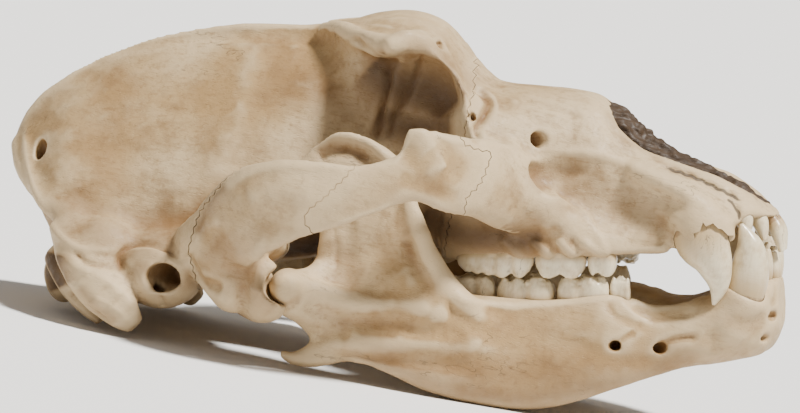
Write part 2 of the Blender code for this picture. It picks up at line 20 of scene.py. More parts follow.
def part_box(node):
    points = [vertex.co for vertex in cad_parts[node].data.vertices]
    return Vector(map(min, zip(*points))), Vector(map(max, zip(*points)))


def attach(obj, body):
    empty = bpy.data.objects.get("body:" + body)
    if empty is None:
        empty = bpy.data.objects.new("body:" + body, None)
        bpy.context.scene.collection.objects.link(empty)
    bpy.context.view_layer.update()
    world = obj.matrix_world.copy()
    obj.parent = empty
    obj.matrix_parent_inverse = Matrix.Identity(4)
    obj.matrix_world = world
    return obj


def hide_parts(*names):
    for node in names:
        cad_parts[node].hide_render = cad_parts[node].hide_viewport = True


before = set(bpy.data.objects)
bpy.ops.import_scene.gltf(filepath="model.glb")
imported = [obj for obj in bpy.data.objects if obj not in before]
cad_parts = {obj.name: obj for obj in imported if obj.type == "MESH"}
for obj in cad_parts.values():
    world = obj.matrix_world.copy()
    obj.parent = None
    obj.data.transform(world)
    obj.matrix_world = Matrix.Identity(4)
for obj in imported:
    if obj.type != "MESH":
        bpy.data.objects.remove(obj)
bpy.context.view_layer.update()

log = logging.getLogger("cave_bear_skull")

Row = tuple[float, ...]
Path = tuple[Row, ...]

MM = 0.001  # a millimetre in metres
FAR = 500.0  # longer than the skull
BODY = "root"
JAW_BELLY, JAW_HEEL = (86, 5), (-46, 30)  # the points that the jaw stands on: x and z
FULL_VOXEL, FULL_TOOTH_VOXEL = 1.4, 0.42  # the fineness of a full run, in millimetres
VOXEL = FULL_VOXEL
TOOTH_VOXEL = FULL_TOOTH_VOXEL
SCROLL_VOXEL = 0.8
MOST_TRIANGLES = 180_000  # of one piece
SUTURE = 0.45  # the gap at an open suture, in millimetres
SUTURE_TOOTH, SUTURE_PITCH = 0.9, 2.6  # the size of its teeth and the distance between them
SOCKET_GAP, SOCKET_VOXEL = 0.45, 1.1  # round a tooth's root, in millimetres
STROKE_STEPS = 6  # the points read from each span of a stroke
CREASE_ANGLE = math.radians(50)  # edges sharper than this stay sharp in the shading


class Side(Enum):
    """A side of the animal, valued by the sign of its Y."""

    RIGHT = -1
    LEFT = 1

    @property
    def label(self) -> str:
        """The side as a word for names."""
        return self.name.lower()


class Axis(Enum):
    """The direction that a limb's half-height is measured along."""

    ALONG = (1, 0, 0)
    ACROSS = (0, 1, 0)
    UP = (0, 0, 1)


# ------------------------------------------------------------- curves, noise and the drawing sheet


def scaled_rounds(full: int, power: int = 2) -> int:
    """The smoothing rounds that reach as far on this run's mesh as so many do in a full run."""
    return round(full * (FULL_VOXEL / VOXEL) ** power)


def curve(rows: Sequence[Row], steps: int) -> np.ndarray:
    """A Catmull-Rom curve through rows of numbers.

    Args:
        rows: the rows that the curve passes through.
        steps: the points read from each span.

    Returns:
        The points, one to a row, with both ends among them.
    """
    known = np.asarray(rows, float)
    padded = np.vstack([known[:1], known, known[-1:]])
    t = np.linspace(0, 1, steps, endpoint=False)[:, None]
    spans = [
        0.5 * (2 * b + (c - a) * t + (2 * a - 5 * b + 4 * c - d) * t**2 + (3 * b - a - 3 * c + d) * t**3)
        for a, b, c, d in zip(padded, padded[1:], padded[2:], padded[3:])
    ]
    return np.vstack([*spans, known[-1:]])


def mottle(points: np.ndarray, size: float | Row, seed: int) -> np.ndarray:
    """Smooth noise.

    Args:
        points: where it is read.
        size: how far across a lump is, as one number or along each axis.
        seed: picks the pattern.

    Returns:
        A value from -1 to 1 for each point.
    """
    cell = points / np.asarray(size, float)
    base = np.floor(cell).astype(np.int64)
    part = cell - base
    part = part * part * (3 - 2 * part)
    total = np.zeros(len(points))
    for corner in np.ndindex(2, 2, 2):
        key = (base + corner) @ np.array([73856093, 19349663, 83492791]) + seed * 2654435761
        key = ((key ^ (key >> 13)) * 1274126177) & 0xFFFFFFFF
        key ^= key >> 16
        total += ((key & 0xFFFF) / 32767.5 - 1) * np.prod(np.where(corner, part, 1 - part), axis=1)
    return total


def bell(distance: np.ndarray, radius: float) -> np.ndarray:
    """1 on the line, fading smoothly to nearly nothing at the radius."""
    return np.exp(-3 * (distance / radius) ** 2)


@dataclass(frozen=True)
class SideSheet:
    """The drawing sheet that paths and outlines are laid out on, always for the right side.

    It looks at the skull's right side, turned towards the nose and from a little above, and is ruled
    in squares that are counted right and down from its corner.
    """

    turn: float = math.radians(10)
    tilt: float = math.radians(4)
    square: float = 0.6  # in millimetres
    origin: Row = (400, 407)  # the square that the skull's origin lies at

    @property
    def axes(self) -> tuple[Vector, Vector, Vector]:
        """The sheet's directions.

        Returns:
            Its right, its up and the one towards whoever looks at it.
        """
        level = math.cos(self.tilt)
        toward = Vector((math.sin(self.turn) * level, -math.cos(self.turn) * level, math.sin(self.tilt)))
        right = Vector((math.cos(self.turn), math.sin(self.turn), 0))
        return right, toward.cross(right), toward

    def lay(self, squares: Sequence[Row]) -> np.ndarray:
        """Squares of the sheet as millimetres right and up from the skull's origin."""
        return (np.asarray(squares, float) - self.origin) * (self.square, -self.square)

    def read(self, points: np.ndarray) -> np.ndarray:
        """Where points of the right side fall on the sheet, in millimetres."""
        right, up, _ = self.axes
        return np.stack([points @ np.array(right), points @ np.array(up)], axis=1)

    def behind(self, spots: np.ndarray, half_width: float) -> np.ndarray:
        """Points of the right side that lie behind spots of the sheet.

        Args:
            spots: the spots, in millimetres.
            half_width: how far from the midline the points lie.

        Returns:
            The points, one to a row.
        """
        right, up, toward = (np.array(axis) for axis in self.axes)
        points = spots[:, :1] * right + spots[:, 1:] * up
        return points + ((-half_width - points[:, 1]) / toward[1])[:, None] * toward


SHEET = SideSheet()


def reach(spots: np.ndarray, path: np.ndarray) -> tuple[np.ndarray, np.ndarray, np.ndarray]:
    """How far spots lie from a path on a sheet.

    Args:
        spots: the spots, in millimetres.
        path: the path's points, in millimetres.

    Returns:
        The distance, the same signed by the side of the path, and the place along it from 0 to 1.
    """
    lengths = np.hypot(*np.diff(path, axis=0).T)
    starts = np.concatenate([[0], np.cumsum(lengths)])
    best = np.full(len(spots), np.inf)
    signed, along = best.copy(), np.zeros(len(spots))
    for start, ahead, length, before in zip(path, np.diff(path, axis=0), lengths, starts):
        off = spots - start
        part = np.clip(off @ ahead / max(length**2, 1e-9), 0, 1)
        distance = np.hypot(*(off - part[:, None] * ahead).T)
        closer = distance < best
        best[closer] = distance[closer]
        side = np.sign(ahead[0] * off[:, 1] - ahead[1] * off[:, 0])
        signed[closer] = (distance * side)[closer]
        along[closer] = ((before + part * length) / starts[-1])[closer]
    return best, signed, along


def zigzag(path: np.ndarray, size: float, pitch: float, seed: int) -> np.ndarray:
    """A path broken into the irregular teeth of a suture.

    Args:
        path: the path's points, in millimetres.
        size: how far a tooth stands off the path.
        pitch: the usual distance between bends.
        seed: picks the pattern.

    Returns:
        The bent path.
    """
    lengths = np.hypot(*np.diff(path, axis=0).T)
    starts = np.concatenate([[0], np.cumsum(lengths)])
    places = np.linspace(0, starts[-1], max(3, round(starts[-1] / pitch)))
    flat = np.stack([np.interp(places, starts, path[:, k]) for k in (0, 1)], axis=1)
    ahead = np.gradient(flat, axis=0)
    ahead /= np.hypot(*ahead.T)[:, None] + 1e-9
    chance = np.random.default_rng(seed)
    offset = size * (chance.uniform(0.4, 1.1, len(flat))) * np.where(np.arange(len(flat)) % 2, 1, -1)
    return flat + offset[:, None] * np.stack([-ahead[:, 1], ahead[:, 0]], axis=1)


# ----------------------------------------------------------------------------------- rings and clay


def limb_rings(path: Sequence[Row], up: Axis, around: int, steps: int) -> np.ndarray:
    """Rings of points round a path.

    Args:
        path: rows of x, y, z, half-width and half-height.
        up: the direction that the half-height is measured along.
        around: the points of a ring.
        steps: the rings of each span.

    Returns:
        The points, ring by ring.
    """
    rows = curve(path, steps)
    ahead = np.gradient(rows[:, :3], axis=0)
    across = np.cross(ahead, up.value)
    across /= np.linalg.norm(across, axis=1)[:, None]
    rise = np.cross(across, ahead)
    rise /= np.linalg.norm(rise, axis=1)[:, None]
    turn = np.linspace(0, 2 * math.pi, around, endpoint=False)[None, :, None]
    wide, high = rows[:, 3, None, None], rows[:, 4, None, None]
    return rows[:, None, :3] + across[:, None] * wide * np.cos(turn) + rise[:, None] * high * np.sin(turn)


def squared(value: np.ndarray, exponent: float) -> np.ndarray:
    """The power of each number's size, with its sign, which squares off an ellipse."""
    return np.sign(value) * np.abs(value) ** exponent


def deselect() -> None:
    """Leaves nothing selected."""
    for thing in bpy.context.selected_objects:
        thing.select_set(False)


class Clay:
    """A closed body under the modeller's hands, in the skull frame."""

    def __init__(self, thing: bpy.types.Object) -> None:
        """Takes over a mesh object."""
        self.thing = thing

    @classmethod
    def tube(cls, name: str, rings: np.ndarray) -> "Clay":
        """A grid rolled up through rings of points, seamed and with both ends closed.

        Args:
            name: the body's name.
            rings: the points, ring by ring.

        Returns:
            The closed body.
        """
        count, around = rings.shape[:2]
        deselect()
        bpy.ops.mesh.primitive_grid_add(x_subdivisions=around, y_subdivisions=count - 1, size=1)
        made = cls(bpy.context.object)
        made.thing.name = name
        rolled = np.concatenate([rings, rings[:, :1]], axis=1)
        made.thing.data.vertices.foreach_set("co", rolled.ravel())
        bpy.ops.object.mode_set(mode="EDIT")
        bpy.ops.mesh.select_all(action="SELECT")
        bpy.ops.mesh.remove_doubles(threshold=1e-4)
        bpy.ops.mesh.fill_holes(sides=0)
        bpy.ops.mesh.normals_make_consistent(inside=False)
        bpy.ops.object.mode_set(mode="OBJECT")
        return made

    @classmethod
    def egg(cls, name: str, centre: Row, radii: Row, yaw: float = 0) -> "Clay":
        """A stretched ball.

        Args:
            name: the body's name.
            centre: its place.
            radii: its radii.
            yaw: its turn about the vertical, in degrees.

        Returns:
            The body.
        """
        deselect()
        bpy.ops.mesh.primitive_uv_sphere_add(
            segments=32, ring_count=20, radius=1, location=centre, rotation=(0, 0, math.radians(yaw)),
            scale=radii,
        )
        made = cls(bpy.context.object)
        made.thing.name = name
        bpy.ops.object.transform_apply(location=True, rotation=True, scale=True)
        return made

    @classmethod
    def merged(cls, name: str, parts: Sequence["Clay"]) -> "Clay":
        """Several bodies in one object.

        Args:
            name: the object's name.
            parts: the bodies, which the first one takes in.

        Returns:
            The first body, with the others in it.
        """
        deselect()
        for part in parts:
            part.thing.select_set(True)
        bpy.context.view_layer.objects.active = parts[0].thing
        if len(parts) > 1:
            bpy.ops.object.join()
        parts[0].thing.name = name
        return parts[0]

    def pick(self) -> None:
        """Makes this the only selected object, and the active one."""
        deselect()
        self.thing.select_set(True)
        bpy.context.view_layer.objects.active = self.thing

    def apply(self, kind: str, **settings: object) -> "Clay":
        """Adds a modifier and writes it into the mesh.

        Args:
            kind: the modifier's type.
            settings: its settings by name.

        Returns:
            This body.
        """
        self.pick()
        step = self.thing.modifiers.new(kind.lower(), kind)
        for key, value in settings.items():
            setattr(step, key, value)
        bpy.ops.object.modifier_apply(modifier=step.name)
        return self

    def fuse(self, voxel: float) -> "Clay":
        """Makes overlapping bodies one closed skin of even squares."""
        return self.apply("REMESH", mode="VOXEL", voxel_size=voxel)

    def cut(self, other: "Clay", operation: str = "DIFFERENCE") -> "Clay":
        """Cuts another body away from this one, or keeps only what both share.

        Args:
            other: the cutter, which is used up.
            operation: DIFFERENCE or INTERSECT.

        Returns:
            This body.
        """
        self.apply("BOOLEAN", operation=operation, object=other.thing, solver="MANIFOLD")
        bpy.data.objects.remove(other.thing)
        return self

    def copy(self, name: str) -> "Clay":
        """A copy with its own mesh.

        Args:
            name: the copy's name.

        Returns:
            The copy.
        """
        twin = self.thing.copy()
        twin.data = self.thing.data.copy()
        twin.name = name
        bpy.context.scene.collection.objects.link(twin)
        return Clay(twin)

    def mirrored(self, name: str) -> "Clay":
        """A copy on the other side of the midline.

        Args:
            name: the copy's name.

        Returns:
            The mirrored copy.
        """
        twin = self.copy(name)
        twin.thing.data.transform(Matrix.Diagonal((1, -1, 1, 1)))
        twin.thing.data.flip_normals()
        return twin

    def loose(self, least: int = 400) -> list["Clay"]:
        """Parts this body where it doesn't hang together.

        Args:
            least: the fewest vertices of a part that is kept.

        Returns:
            The separate bodies, largest first.
        """
        self.pick()
        bpy.ops.object.mode_set(mode="EDIT")
        bpy.ops.mesh.select_all(action="SELECT")
        bpy.ops.mesh.separate(type="LOOSE")
        bpy.ops.object.mode_set(mode="OBJECT")
        parts = sorted(bpy.context.selected_objects, key=lambda part: -len(part.data.vertices))
        for crumb in [part for part in parts if len(part.data.vertices) < least]:
            parts.remove(crumb)
            bpy.data.objects.remove(crumb)
        return [Clay(part) for part in parts]

    def points(self) -> np.ndarray:
        """Reads the mesh.

        Returns:
            The vertices' places, one to a row.
        """
        found = np.empty(len(self.thing.data.vertices) * 3)
        self.thing.data.vertices.foreach_get("co", found)
        return found.reshape(-1, 3)


@dataclass(frozen=True)
class Limb:
    """A tapering form along a path: rows of x, y, z, half-width and half-height along up."""

    path: Path
    up: Axis = Axis.UP

    def build(self, side: Side) -> Clay:
        """The form on one side; the path is drawn on the right."""
        rows = [(x, -y * side.value, z, *sizes) for x, y, z, *sizes in self.path]
        return Clay.tube("limb", limb_rings(rows, self.up, around=28, steps=8))


@dataclass(frozen=True)
class Lump:
    """An ellipsoid on the right side, turned about the vertical by degrees."""

    centre: Row
    radii: Row
    yaw: float = 0

    def build(self, side: Side) -> Clay:
        """The lump on one side."""
        x, y, z = self.centre
        return Clay.egg("lump", (x, -y * side.value, z), self.radii, -side.value * self.yaw)


@dataclass(frozen=True)
class Bore:
    """A hole for a nerve or a vessel, found by its mouth's square on the side sheet."""

    mouth: Row
    half_width: float
    radii: Row
    yaw: float = 0

    def build(self, side: Side) -> Clay:
        """The cutter on one side."""
        x, y, z = SHEET.behind(SHEET.lay([self.mouth]), self.half_width)[0]
        return Clay.egg("bore", (x, -y * side.value, z), self.radii, -side.value * self.yaw)


Form = Limb | Lump | Bore


@dataclass(frozen=True)
class Stroke:
    """One pass of a sculpting tool along a path on the side sheet, made on both sides of the animal.

    A positive lift raises the surface and a negative one presses it in. With an edge, only the left
    side of the path is lifted, and it drops off to the right within that distance, as a lip does.
    """

    path: Path
    radius: float
    lift: float
    near: float = 0
    far: float = FAR
    edge: float = 0

    @property
    def line(self) -> np.ndarray:
        """The path as a smooth line on the sheet, in millimetres."""
        return curve(SHEET.lay(self.path), STROKE_STEPS)


class Sculptor:
    """Vertex moves on a dense closed mesh, made alike on both sides of the animal."""

    def __init__(self, clay: Clay) -> None:
        """Reads the mesh.

        Args:
            clay: the body to sculpt.
        """
        self.mesh = clay.thing.data
        self.count = len(self.mesh.vertices)
        self.points = clay.points()
        ends = np.empty(len(self.mesh.edges) * 2, dtype=np.int64)
        self.mesh.edges.foreach_get("vertices", ends)
        self.one, self.other = ends.reshape(-1, 2).T
        degree = np.bincount(self.one, minlength=self.count) + np.bincount(self.other, minlength=self.count)
        self.degree = np.maximum(degree, 1)

    def around(self, values: np.ndarray) -> np.ndarray:
        """The mean of each vertex's neighbours.

        Args:
            values: a value or a place for each vertex.

        Returns:
            The means, in the same layout.
        """
        columns = values.reshape(self.count, -1)
        total = [
            np.bincount(self.one, column[self.other], self.count)
            + np.bincount(self.other, column[self.one], self.count)
            for column in columns.T
        ]
        return (np.stack(total, axis=1) / self.degree[:, None]).reshape(values.shape)

    def normals(self) -> np.ndarray:
        """Reads the directions that the surface faces, as it now stands.

        Returns:
            The vertices' normals, one to a row.
        """
        self.write()
        found = np.empty(self.count * 3)
        self.mesh.vertex_normals.foreach_get("vector", found)
        return found.reshape(-1, 3)

    def write(self) -> None:
        """Puts the vertices' places into the mesh."""
        self.mesh.vertices.foreach_set("co", self.points.ravel())
        self.mesh.update()

    def fill(self, rounds: int) -> None:
        """Rounds out the creases where forms meet: only vertices in a hollow move.

        Args:
            rounds: how often they move.
        """
        for _ in range(rounds):
            normals = self.normals()
            move = self.around(self.points) - self.points
            hollow = (move * normals).sum(axis=1) > 0
            self.points[hollow] += 0.7 * move[hollow]

    def relax(self, rounds: int, factor: float = 0.5) -> None:
        """Smooths the whole surface a little."""
        for _ in range(rounds):
            self.points += factor * (self.around(self.points) - self.points)

    def lift(self, amount: np.ndarray) -> None:
        """Moves each vertex along its normal."""
        self.points += self.normals() * amount[:, None]

    def one_sided(self) -> tuple[np.ndarray, np.ndarray]:
        """Folds the body over on to its right side.

        Returns:
            The vertices' places and normals, as if every one lay on the right side.
        """
        points, normals = self.points.copy(), self.normals()
        left = points[:, 1] > 0
        points[left, 1] *= -1
        normals[left, 1] *= -1
        return points, normals

    def reached(self, stroke: Stroke, path: np.ndarray) -> tuple[np.ndarray, np.ndarray]:
        """The vertices within a stroke, and how strongly each one takes it.

        Args:
            stroke: the stroke.
            path: its path on the sheet, in millimetres.

        Returns:
            The vertices' numbers, and a weight from 0 to 1 for each.
        """
        points, normals = self.one_sided()
        spots = SHEET.read(points)
        facing = normals @ np.array(SHEET.axes[2])
        wide = -points[:, 1]
        inside = (spots > path.min(axis=0) - stroke.radius) & (spots < path.max(axis=0) + stroke.radius)
        near = inside.all(axis=1) & (facing > 0) & (wide > stroke.near - 4) & (wide < stroke.far + 4)
        chosen = np.nonzero(near)[0]
        if not len(chosen):
            return chosen, np.zeros(0)
        distance, signed, along = reach(spots[chosen], path)
        weight = bell(distance, stroke.radius)
        if stroke.edge:
            weight *= 0.5 + 0.5 * np.tanh(signed / stroke.edge)
        weight *= np.clip(np.minimum(along, 1 - along) * 8 + 0.25, 0, 1)
        weight *= np.clip(facing[chosen] * 2.5, 0, 1)
        weight *= np.clip((wide[chosen] - stroke.near) / 4 + 0.5, 0, 1)
        weight *= np.clip((stroke.far - wide[chosen]) / 4 + 0.5, 0, 1)
        return chosen, weight

    def draw(self, stroke: Stroke) -> None:
        """Makes one stroke."""
        chosen, weight = self.reached(stroke, stroke.line)
        self.points[chosen] += self.normals()[chosen] * (weight * stroke.lift)[:, None]

    def ripple(self, size: float | Row, depth: float, seed: int) -> None:
        """Lifts the surface by smooth noise, up to the depth either way."""
        self.lift(depth * mottle(self.points, size, seed))

    def hollowness(self, rounds: int) -> np.ndarray:
        """How far each vertex lies under its surroundings.

        Args:
            rounds: how often the surroundings are smoothed, which sets how wide they are.

        Returns:
            The depths in millimetres, above 0 in a hollow.
        """
        smooth = self.points
        for _ in range(rounds):
            smooth = smooth + 0.9 * (self.around(smooth) - smooth)
        return ((smooth - self.points) * self.normals()).sum(axis=1)

    def paint(self, name: str, values: np.ndarray) -> None:
        """Stores a value for each vertex, for the finish to read."""
        layer = self.mesh.attributes.new(name, "FLOAT", "POINT")
        layer.data.foreach_set("value", values.astype(np.float32))


def outline_prism(outline: Sequence[Row], near: float, grow: float, seed: int) -> Clay:
    """The space behind an outline of the right side, from a half-width outwards, with its mirror.

    Args:
        outline: squares of the side sheet, in order round the region.
        near: the half-width that the space starts at.
        grow: how far the outline is pushed out, in millimetres.
        seed: picks the teeth of the suture round it.

    Returns:
        The cutter, which holds the right and the left space.
    """
    flat = SHEET.lay(outline)
    flat = zigzag(np.vstack([flat, flat[:1]]), SUTURE_TOOTH, SUTURE_PITCH, seed)[:-1]
    ahead = np.roll(flat, -1, axis=0) - np.roll(flat, 1, axis=0)
    ahead /= np.hypot(*ahead.T)[:, None]
    area = (flat[:, 0] * np.roll(flat[:, 1], -1) - flat[:, 1] * np.roll(flat[:, 0], -1)).sum()
    out = np.stack([ahead[:, 1], -ahead[:, 0]], axis=1) * np.sign(area)
    flat = flat + grow * out
    rings = np.array([SHEET.behind(flat, width) for width in (near - grow, FAR)])
    right = Clay.tube("prism", rings)
    return Clay.merged("prism", [right, right.mirrored("prism")])


def sockets(teeth: Sequence[Clay]) -> Clay:
    """A cutter that leaves a thin gap round teeth.

    Args:
        teeth: the teeth, which stay as they are.

    Returns:
        The cutter.
    """
    grown = []
    for tooth in teeth:
        copy = tooth.copy("socket")
        sculptor = Sculptor(copy)
        sculptor.lift(np.full(sculptor.count, SOCKET_GAP))
        sculptor.write()
        grown.append(copy)
    return Clay.merged("sockets", grown).fuse(SOCKET_VOXEL)


# -------------------------------------------------------------------------------------- the cranium

# The cranium's lines plan. Each station is one cross-section, from the occiput to the nose: x, roof
# at the midline, then (half-width, height) of the roof's rim, the waist of the temple or the eye
# socket's wall, the belly of the braincase or the muzzle, and the foot, and last the keel.
CRANIUM_STATIONS = (
    (-235, 163, (3, 162), (6, 158), (8, 153), (5, 149), 148),
    (-228, 176, (4, 174), (13, 160), (20, 148), (13, 138), 137),
    (-218, 187, (4, 184), (18, 165), (34, 138), (24, 125), 123),
    (-207, 195, (4, 192), (22, 172), (47, 132), (34, 106), 101),
    (-195, 203, (4, 199), (24, 178), (56, 128), (42, 84), 76),
    (-175, 213, (4, 209), (24, 185), (60, 126), (50, 80), 73),
    (-150, 221.5, (4, 217), (24, 190), (60, 128), (52, 84), 74),
    (-120, 226.5, (4, 222), (27, 192), (61, 133), (50, 88), 77),
    (-90, 229.5, (5, 225), (31, 193), (59, 139), (44, 93), 83),
    (-60, 229.5, (6, 225), (33, 195), (54, 145), (37, 99), 89),
    (-35, 231.5, (16, 227), (34, 198), (45, 152), (32, 104), 94),
    (-10, 237.5, (44, 223), (34, 202), (37, 155), (30, 108), 98),
    (10, 238, (59, 220), (36, 202), (36, 158), (30, 110), 100),
    (28, 231, (49, 218), (40, 192), (38, 153), (32, 108), 100),
    (44, 213, (42, 199), (52, 176), (45, 145), (38, 106), 101),
    (60, 197.5, (38, 190), (58, 170), (52, 142), (50, 100), 102),
    (82, 194, (31, 188), (52, 168), (53, 136), (56, 97), 102),
    (106, 192, (28, 186), (44, 167), (46, 134), (57, 97), 102),
    (124, 187, (26, 181), (42, 159), (43, 130), (55, 97), 103),
    (138, 169, (26, 166), (39, 150), (42, 126), (51, 98), 104),
    (151, 158, (28, 156.5), (38, 144), (42, 124), (47, 100), 105),
    (175, 149.5, (28, 148), (37, 138), (44, 122), (45, 104), 106),
    (195, 143, (27, 141), (36, 132), (45, 120), (45, 107), 108),
    (205, 137.5, (25, 135.5), (33, 129), (38, 121), (38, 114), 113),
    (214, 132, (22, 130.5), (29, 126.5), (32, 122), (29, 118), 117),
    (223, 125.5, (15, 124.5), (21, 122.5), (23, 120.5), (20, 118), 117.5),
    (229, 120, (7, 119.5), (10, 119), (11, 118), (8, 117), 117),
)


def hull_rings(stations: Sequence[tuple], along: int = 7, round_steps: int = 8) -> np.ndarray:
    """The rings of a symmetrical body.

    Args:
        stations: the cross-sections of its lines plan.
        along: the rings from one station to the next.
        round_steps: the points from one offset of a cross-section to the next.

    Returns:
        The points, ring by ring.
    """
    flat = [
        (x, roof, *rim, *waist, *belly, *foot, keel) for x, roof, rim, waist, belly, foot, keel in stations
    ]
    rings = []
    for x, roof, *offsets, keel in curve(flat, along):
        half = np.array([(0, roof), *zip(offsets[::2], offsets[1::2]), (0, keel)])
        turned = half * (-1, 1)
        side = curve(np.vstack([turned[1], half, turned[-2]]), round_steps)[round_steps:-round_steps]
        ring = np.vstack([side, side[-2:0:-1] * (-1, 1)])
        rings.append(np.column_stack([np.full(len(ring), x), ring]))
    return np.array(rings)


@dataclass
class Cranium:
    """The cranium: shaped whole on both sides, then parted into bones along its sutures."""

    forms: dict[str, Form] = field(
        default_factory=lambda: {
            "arch": Limb((
                (92, -46, 126, 11, 20), (80, -66, 135, 12, 25), (64, -94, 144.5, 10.5, 24.5),
                (49, -114, 146.5, 8, 21.5), (30, -129, 147.5, 6.5, 15.5), (5, -138, 140.5, 5.5, 15.5),
                (-20, -141, 136, 6, 21), (-44, -139, 133, 8, 25), (-66, -129, 125, 12, 27),
                (-86, -110, 111, 16, 25), (-102, -84, 101, 19, 20), (-110, -56, 99, 21, 17),
            )),
            "cheek_prow": Limb((
                (66, -84, 138, 12, 14), (84, -67, 133, 12, 14), (101, -56, 120, 10, 12),
                (114, -52, 110, 8, 10), (126, -48, 104, 5, 6),
            )),
            "cheek_horn": Limb(
                ((36, -126, 150, 6, 17), (34, -129, 165, 5.5, 11), (33, -131, 176, 4, 6)), Axis.ALONG
            ),
            "cheek_top": Limb(((37, -127, 163, 5, 12), (48, -119, 161, 5, 12), (60, -103, 160, 6, 9))),
            "temporal_edge": Limb((
                (-46, -10, 228, 4, 4), (-30, -24, 227, 5, 6), (-16, -38, 221.5, 6, 7),
                (-2, -51, 219.5, 6.5, 7), (8, -60, 220, 5, 5.5),
            )),
            "brow": Limb(((20, -42, 220.5, 8, 8), (13, -54, 221, 7, 8), (2, -62, 219.5, 4.5, 5))),
            "eye_rim": Limb((
                (8, -57, 221.5, 5, 6), (20, -50, 221.5, 4.5, 6), (27, -47, 215.5, 4.5, 7),
                (33, -46, 207.5, 4.5, 8), (39, -46, 199.5, 4.5, 9), (45, -48, 191, 4.5, 9),
                (49, -52, 181, 5, 9), (55, -57, 169, 6, 9), (64, -60, 160, 7, 9), (80, -58, 156, 8, 9),
            ), Axis.ACROSS),
            "glenoid": Limb(((-78, -46, 100, 20, 13), (-74, -84, 105, 20, 13), (-68, -114, 113, 15, 13))),
            "shield": Limb((
                (-106, -72, 94, 19, 13), (-93, -94, 94, 18, 17), (-81, -107, 89, 15, 24),
                (-70, -112, 84, 12, 22),
            )),
            "glenoid_hook": Limb((
                (-66, -112, 94, 6, 5), (-57, -114, 92.5, 4, 3), (-48, -114, 92.5, 2.4, 2.2),
            )),
            "postglenoid": Limb((
                (-90, -52, 90, 11, 12), (-81, -70, 78, 13, 16), (-70, -88, 73, 15, 15.5),
                (-62, -105, 73.5, 14, 14), (-61, -120, 88, 10, 14),
            )),
            "mastoid": Limb((
                (-190, -60, 112, 10, 12), (-178, -78, 94, 11, 15), (-164, -90, 76, 10, 15),
                (-150, -94, 62, 8, 11), (-142, -94, 54, 5, 6),
            ), Axis.ALONG),
            "paroccipital": Limb((
                (-196, -46, 94, 12, 13), (-186, -62, 78, 10, 11), (-174, -72, 64, 8, 8),
                (-166, -74, 55, 4, 4.5),
            ), Axis.ALONG),
            "nuchal_crest": Limb((
                (-231, -3, 158, 6, 7), (-226, -18, 145, 6, 7), (-215, -34, 134, 6, 8),
                (-200, -50, 124, 7, 9), (-184, -64, 112, 8, 10), (-172, -77, 99, 9, 12),
            ), Axis.ALONG),
            "pterygoid": Limb((
                (46, -26, 104, 9, 10), (22, -22, 98, 5, 14), (0, -20, 96, 4, 15),
                (-18, -20, 94, 3.5, 15), (-28, -22, 88, 3, 9),
            )),
            "canine_swelling": Limb((
                (146, -33, 146, 8, 9), (167, -37, 134, 12, 12), (184, -41, 119, 16, 15),
                (189, -42.5, 110, 18, 15), (190.5, -43, 103, 18, 14),
            ), Axis.ACROSS),
            "tooth_ledge": Limb((
                (34, -43, 111, 9, 18), (58, -45, 109, 13.5, 18), (92, -47, 106, 14.5, 13),
                (122, -46, 104.5, 12, 10), (145, -44, 104, 7, 7), (168, -43, 104, 7, 6),
            )),
            "palate_wall": Limb((
                (92, -44, 118, 10, 14), (60, -42, 116, 10, 15), (36, -38, 114, 9, 15),
                (12, -31, 112, 7, 14),
            )),
            "temple_root": Lump((-128, -58, 96), (38, 24, 19)),
            "mastoid_body": Lump((-166, -62, 98), (25, 25, 21), 30),
            "ear_hole_lip": Lump((-150, -74, 74), (9, 18, 8)),
            "ear_boss": Lump((-130, -74, 84), (24, 23, 20.5)),
            "ear_spur": Lump((-105, -92, 89.5), (2.4, 6, 2.4)),
            "occipital_condyle": Lump((-200, -27, 80), (12, 15, 18), 12),
            "bulla": Lump((-128, -44, 80), (26, 18, 9), -18),
            "tuber": Lump((42, -44, 108), (12, 11, 11)),
        }
    )
    hollows: dict[str, Form] = field(
        default_factory=lambda: {
            "eye_socket": Lump((19, -72, 190), (30, 38, 29), -12),
            "cheek_fossa": Lump((116, -61, 145.5), (30, 19, 14.5)),
            "muzzle_dish": Lump((150, -66, 130), (42, 24, 19), -8),
            "jaw_joint": Limb(((-53, -54, 80, 11, 11), (-52, -92, 80, 11.5, 11), (-49, -130, 81, 11, 11))),
            "jaw_joint_play": Limb((
                (-42, -86, 97, 10, 8), (-43, -104, 99, 14, 10.5), (-42, -136, 100, 15, 11),
            )),
            "ear": Limb((
                (-118, -66, 85, 6, 6), (-124, -84, 84, 10, 8.5), (-126, -96, 83, 10.5, 9),
                (-127, -110, 82, 11, 9.5),
            )),
            "infraorbital": Limb((
                (84, -44, 163, 4, 5), (98, -52, 166, 4, 5.5), (107, -62, 168, 4.5, 6.5),
            )),
            "infraorbital_slant": Bore((535, 134), 56, (3.2, 9, 2.8)),
            "ear_notch": Bore((160, 291), 82, (4.4, 9, 5.5), 20),
            "ear_nick": Bore((176, 268), 84, (5, 8, 4)),
            "ear_cleft": Bore((167, 300), 78, (1.4, 9, 6)),
            "foramen_ovale": Lump((-84, -34, 84), (4, 3, 8)),
            "optic_hole": Lump((-22, -33, 160), (4, 6, 2.6)),
            "lacrimal_pit": Bore((470, 119), 58, (2.6, 7, 3.2)),
            "lacrimal_slot": Bore((483, 104), 57, (1.8, 6, 7.5), 12),
            "brow_hole": Bore((440, 47), 39, (3.4, 9, 2.6), 20),
            "crest_pit": Bore((42, 150), 26, (4.2, 8, 7.2)),
        }
    )
